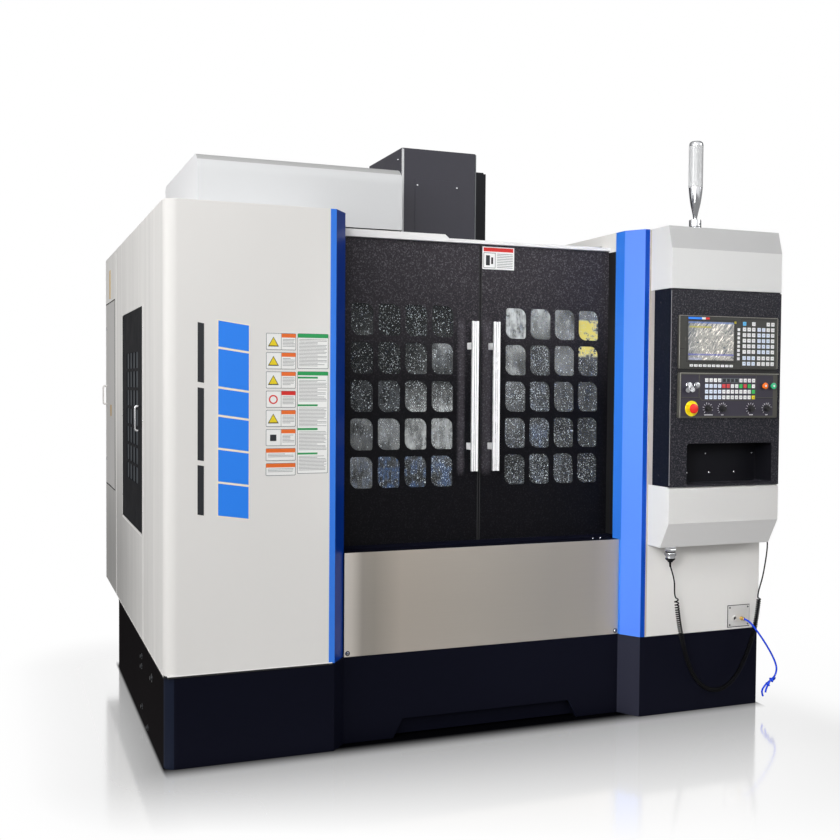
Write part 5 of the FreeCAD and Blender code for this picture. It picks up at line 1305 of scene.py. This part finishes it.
def fit_keys():
    places = {}

    def key(x, z, wide, tall, finish, seat=FACE):
        places.setdefault((wide, tall, finish), []).append(at(x + wide / 2, seat, z + tall / 2))

    for column in range(7):
        first = 1053 if column < 3 else 1057.5
        for row in range(8):
            if row < 7 or column not in (1, 3, 4):
                z = 1510 + row * 23.5 + (0 if row < 2 else 3)
                key(first + column * 23.5 - 8, z - 8, 16, 16, letter_finish(column, row))
    for row in range(8):
        key(1018, 1524 + row * 17.5, 12, 12, "key_white")
    for column in range(10):
        key(782 + column * 22, 1494, 16, 10, "key_white")
    for column in range(12):
        for row in range(4):
            if row < 3 or not 4 <= column <= 7:
                finish = PAD_COLOURS.get((column, row), "key_pale" if column < 4 and row < 3 else "key_white")
                key(858.5 + column * 21.5, 1360 + row * 23.6, 15, 16, finish, FACE - 1.5)
    caps = Piece("key_caps")
    for (wide, tall, finish), spots in places.items():
        caps.put(block((-wide / 2, -2.9, -tall / 2), (wide / 2, 0.2, tall / 2), 0.9), finish, *spots)
        if wide > 12:
            caps.put(block((-wide * 0.2, -3.05, -0.8), (wide * 0.2, -2.8, 0.8)), "key_mark", *spots)
    caps.done("frame", "keys")


def operator_paint(centre, normal):
    """Which part of the operator's panel a face belongs to."""
    if centre.y < FACE - 0.2:
        for x, z, reach, finish in PARTS:
            if math.hypot(centre.x - x, centre.z - z) < reach:
                return finish
        return "readout" if centre.y < FACE - 2 else "rim_plastic"
    inside = 743 < centre.x < 1206 and 1290 < centre.z < 1461 and normal.y < -0.9
    return "panel_plastic" if inside else "rim_plastic"


def fit_panels():
    cuts = [((743, 0, 0), RIGHT), ((1206, 0, 0), RIGHT), ((0, 0, 1290), UP), ((0, 0, 1461), UP)]
    softened("operator_panel", 0.8, "rim_plastic", operator_paint, cuts)
    softened("display_unit", 1.4, "display_plastic", steps=3)

    trims = Piece("control_trims")

    def strips(finish, proud, deep, *fields, edge=0.2):
        """Flat strips (x0, z0, x1, z1) that stand proud of the panel's face and reach deep behind it."""
        for x0, z0, x1, z1 in fields:
            trims.blocks(finish, (x0, FACE - proud, z0, x1, FACE + deep, z1), edge=edge)

    plinth = [(832, 1460.5), (832, 1371), (846, 1357), (1101, 1357), (1115, 1371), (1115, 1460.5)]
    trims.put(slab(plinth, 0.5, 0.2), "panel_plastic", at(0, FACE - 1.5, 0))
    for x0, x1 in ((743, 830), (1117, 1206)):
        strips("rim_plastic", 0.5, 0.2, (x0, 1365.6, x1, 1368.4))
        strips("groove", 0.3, 0.2, (x0, 1363.6, x1, 1365.6), edge=0)
    strips("groove", -6.4, 7.9, (728, 1469, 1229, 1486), edge=0)
    strips(
        "black_plastic", 1.2, 0.2, (766, 1513, 1010, 1516), (766, 1687, 1010, 1690), (766, 1516, 769, 1687),
        (1007, 1516, 1010, 1687), edge=0.4,
    )
    strips("groove", 0.6, 0.2, (1036, 1488, 1037.5, 1697), (1036, 1695.5, 1219, 1697))
    strips(
        "rim_plastic", 0.6, 0.2, (1217, 1489, 1219.5, 1697), (1036, 1487, 1219, 1489), (731, 1488, 734, 1704),
        (1222, 1488, 1224, 1704), (733, 1486.6, 1222, 1488.6),
    )
    strips("groove", 2.5, -1.5, (733, 1566, 756, 1568), edge=0)
    strips("rim_plastic", 2.6, -1.0, (757, 1600, 762, 1616), edge=0.5)
    # painted highlights: pale strips along the operator panel's top and side edges and round the display's frame
    strips("rim_shine", 12.2, -11.3, (729, 1466.4, 1228, 1468.6), (729, 1284, 731, 1467), edge=0.3)
    strips(
        "rim_shine", 2.2, -1.3, (1223.6, 1490, 1225.4, 1703), (729, 1488, 730.6, 1704), (731, 1703.6, 1224, 1705),
        edge=0.3,
    )
    strips("stripe_blue", 0.5, 0.1, (773, 1690, 840, 1699))
    strips("plate", 0.5, 0.1, (840, 1690, 858, 1699))
    strips("plate_red", 0.5, 0.1, (858, 1690, 878, 1699))
    strips("key_yellow", 0.6, 0.1, (1003, 1676, 1012, 1686))
    strips("readout_dark", 4.0, -3.2, *[(946 + 20.5 * k, 1432, 961 + 20.5 * k, 1446) for k in range(4)], edge=0.3)
    # painted highlight: a grey strip down the housing's front left edge
    strips("edge_grey", -7.7, 9, (695, 1003, 697, 1806), edge=0.3)
    trims.done("frame")

    ticks = Piece("knob_scales")
    for x, first, last in zip(KNOBS, (-135, -135, -150, -135), (105, 60, 90, 75)):
        for k in range(9):
            place = at(x, FACE, KNOB_Z) @ turned(first + (last - first) * k / 8, "Y")
            ticks.put(block((-0.9, -0.4, 18), (0.9, 0.1, 24.5 if k % 2 else 26)), "tick", place)
    for x0, x1 in ((858, 900), (942, 954), (1084, 1104), (1168, 1180)):
        ticks.blocks("tick", (x0, FACE - 0.4, 1293, x1, FACE + 0.1, 1296))
    ticks.done("frame")

    switches = Piece("key_switches")
    for x in SWITCHES:
        switches.put(spun([
            (0, 4), (6.0, 4), (6.6, 9.4), (9.4, 9.4), (11.6, 8.2), (12.2, 3), (13.2, 2.4), (14, 1), (14, -0.5),
            (0, -0.5),
        ], 36), "chrome", facing(FRONT, (x, FACE, SWITCH_Z)))
        switches.blocks("groove", (x - 0.9, FACE - 4.6, 1413, x + 0.9, FACE - 3.8, 1421))
    half = [(3, 0), (4, 3), (9, 6), (11, 11), (10, 17), (5, 21)]
    bow = [(-3, 0)] + half + [(-x, z) for x, z in half[:0:-1]]
    for thick, finish, place in (
        (2.4, "steel", at(779, FACE - 0.2, 1417) @ turned(90, "X") @ turned(75, "Z")),
        (2.2, "chrome", at(786, FACE - 14, 1410) @ turned(165, "Y")),
        (2.2, "steel", at(772, FACE - 11, 1408) @ turned(200, "Y")),
    ):
        switches.put(slab(bow, thick, 0.5), finish, place)
    ring = [(10, -1.0), (12.2, -1.0), (12.2, 1.0), (10, 1.0), (10, -1.0)]
    switches.put(spun(ring, 28), "chrome", facing((0.1, -1, 0.1), (780, FACE - 16, 1406)))
    switches.done("frame")


def fit_buttons():
    stop = Piece("stop_button")
    stop.put(spun([
        (10.4, 10), (16.4, 10), (17.4, 11), (19.6, 14), (20, 15), (20, 18), (19.2, 19.8), (16.5, 21), (10, 21.8),
        (0, 22), (0, 18.6), (10.4, 18.6), (10.4, 10),
    ], 48), "red", facing(FRONT, (STOP, FACE, KNOB_Z)))
    stop.done("stop", "emergency_stop")
    for name, x, finish in (("hold", HOLD, "orange"), ("start", START, "green")):
        lens, seat = Piece(name + "_lens"), facing(FRONT, (x, FACE, SWITCH_Z))
        lens.put(spun([
            (0, 0.3), (11, 0.3), (11, 9.3), (13.2, 9.5), (13.6, 10.1), (13.2, 11.6), (11.6, 12.6), (8.4, 13),
            (0, 13.2),
        ], 40), finish, seat)
        lens.put(spun([(0, 12.9), (4.6, 12.9), (4.6, 13.4), (0, 13.4)], 24), "tick", seat)
        lens.done(name, name + "_button")
    for k in range(len(KNOBS)):
        softened(
            f"knob_{k + 1}", 1.0, "black_plastic", steps=3,
            paint=lambda c, n: "tick" if c.y < FACE - 18.6 and c.z > 1323 else None,
        )


fit_keys()
fit_panels()
fit_buttons()


# ---------------------------------------------------------------- lamp, air plate, pendant, rear doors
def fit_lamp():
    lamp, foot = Piece("signal_lamp"), facing(UP, (857, -1100, 2074))
    lamp.put(spun([
        (0, 0), (25.2, 0), (26, 1), (26, 34.5), (24.4, 37), (9, 37), (8, 38), (8, 42), (9.6, 52), (12.4, 66),
        (15.4, 79), (19, 93), (22.4, 110), (25.4, 130), (27.8, 150), (29.4, 168), (29.8, 172.4), (0, 172.4),
    ], 64), "chrome", foot)
    lamp.put(spun([(0, 172), (30, 172), (30, 345), (0, 345)], 64), "lamp", foot)
    lamp.put(spun([
        (0, 344), (30, 344), (30, 349), (29, 355), (26.5, 360), (22, 363.6), (17, 364.8), (0, 365),
    ], 64), "chrome", foot)
    groove = [(26, 6), (26.3, 6.4), (26.3, 9.6), (26, 10), (25.6, 10), (25.6, 6), (26, 6)]
    lamp.put(spun(groove, 64), "dark_steel", foot)
    lamp.put(pan_head(4), "dark_steel", facing((0.3, -1, 0), (862.5, -1125.6, 2092)))
    lamp.done("frame", "tower_light")


def air_paint(centre, normal):
    hole = centre.y > -1026 and abs(centre.x - 1148) < 8.5 and abs(centre.z - 392) < 8.5
    return "groove" if hole else None


def fit_air_plate():
    # painted shadow: a dark sheet behind the plate shows round its edges
    shade = Piece("air_plate_gap")
    shade.blocks("groove", (1111.5, -1024.9, 351.5, 1229, -1024.05, 450), edge=0.3)
    shade.done("frame")
    softened("air_plate", 0.8, "air_sheet", air_paint)
    fitting, spot = Piece("hose_fitting"), facing(FRONT, (1184, -1027, 389))
    fitting.put(spun([(0, 0), (9, 0), (9, 1), (8.6, 1.4), (8.6, 7), (9, 7.6), (8, 9), (0, 9)], 6), "brass", spot)
    fitting.put(spun([
        (0, 8.8), (6.6, 8.8), (6.6, 13), (6, 14), (6, 17), (6.8, 17.6), (6.8, 21), (5.8, 22), (0, 22),
    ], 32), "brass", spot)
    fitting.done("frame", "air_fitting")


def fit_pendant():
    softened("pendant", 3, "black_plastic", steps=3)
    right, middle, wheel_z = 1326, -995, 935
    dial = Piece("pendant_scales")
    for offset in (-24, 24):
        for k in range(7):
            place = at(right, middle + offset, 1035) @ turned(25 * k - 75, "X")
            dial.put(block((-0.2, -0.7, 14), (0.3, 0.7, 18)), "tick", place)
    for k in range(50):
        place = at(right, middle, wheel_z) @ turned(7.2 * k, "X")
        dial.put(block((-0.2, -0.3, 34), (0.3, 0.3, 37 if k % 5 else 39)), "tick", place)
    cap = [(0, 2), (3, 2), (3.6, 1), (3.6, -0.4), (0, -0.4)]
    dial.put(spun(cap, 20), "red", facing(RIGHT, (right, middle, 1064)))
    dial.blocks("rim_plastic", (right - 40, -1047, 900, right - 12, -1044.5, 1010), edge=1, steps=2)
    dial.done("frame")
    wheel = Piece("pendant_dial")
    hub = facing(RIGHT, (right, middle, wheel_z))
    wheel.put(spun([
        (0, 0.4), (31, 0.4), (32, 1.4), (32, 6), (30.5, 8), (29, 9), (31, 11), (31.6, 14), (31, 19), (29, 21.6),
        (26, 21.6), (24, 19), (23, 13), (0, 12),
    ], 60), "black_plastic", hub)
    wheel.put(spun([(0, 12), (7, 12), (6.4, 15), (0, 15.6)], 28), "chrome", hub)
    knob = [(0, 12), (4.6, 12), (5.4, 14), (5.6, 20), (4.6, 21.6), (0, 21.9)]
    wheel.put(spun(knob, 24), "black_plastic", facing(RIGHT, (right, middle, wheel_z + 18)))
    for k in range(10):
        place = at(right + 8.6, middle, wheel_z) @ turned(36 * k, "X")
        wheel.put(block((-0.6, -0.5, 24.5), (0.9, 0.5, 29)), "tick", place)
    wheel.done("handwheel", "pendant_wheel")


def fit_rear():
    """Hinges and quarter-turn locks on the cabinet behind, and the rear door's locks."""
    rear = Piece("cabinet_hardware")
    spots = [(x, 1202, z) for x in (161, 253) for z in (620, 1200, 1780)]
    rear.fasten(quarter_lock(), "chrome", BACK, spots)
    rear.put(block((-1, -0.2, -4), (1, 2.2, 4)), "groove", *[at(*spot) for spot in spots])
    barrel = [(0, -34), (5, -34), (5.6, -33), (5.6, -0.6), (5, 0), (5.6, 0.6), (5.6, 33), (5, 34), (0, 34)]
    spots = [at(x, 1200.3, z) for x in (-826, 1240) for z in (560, 1200, 1840)]
    rear.put(spun(barrel, 20), "dark_steel", *spots)
    rear.done("frame")

    side = Piece("rear_door_hardware")
    side.fasten(quarter_lock(), "chrome", LEFT, [(-1324, 1140, 1700), (-1324, 1140, 1000)])
    side.done("rear_door")


fit_lamp()
fit_air_plate()
fit_pendant()
fit_rear()
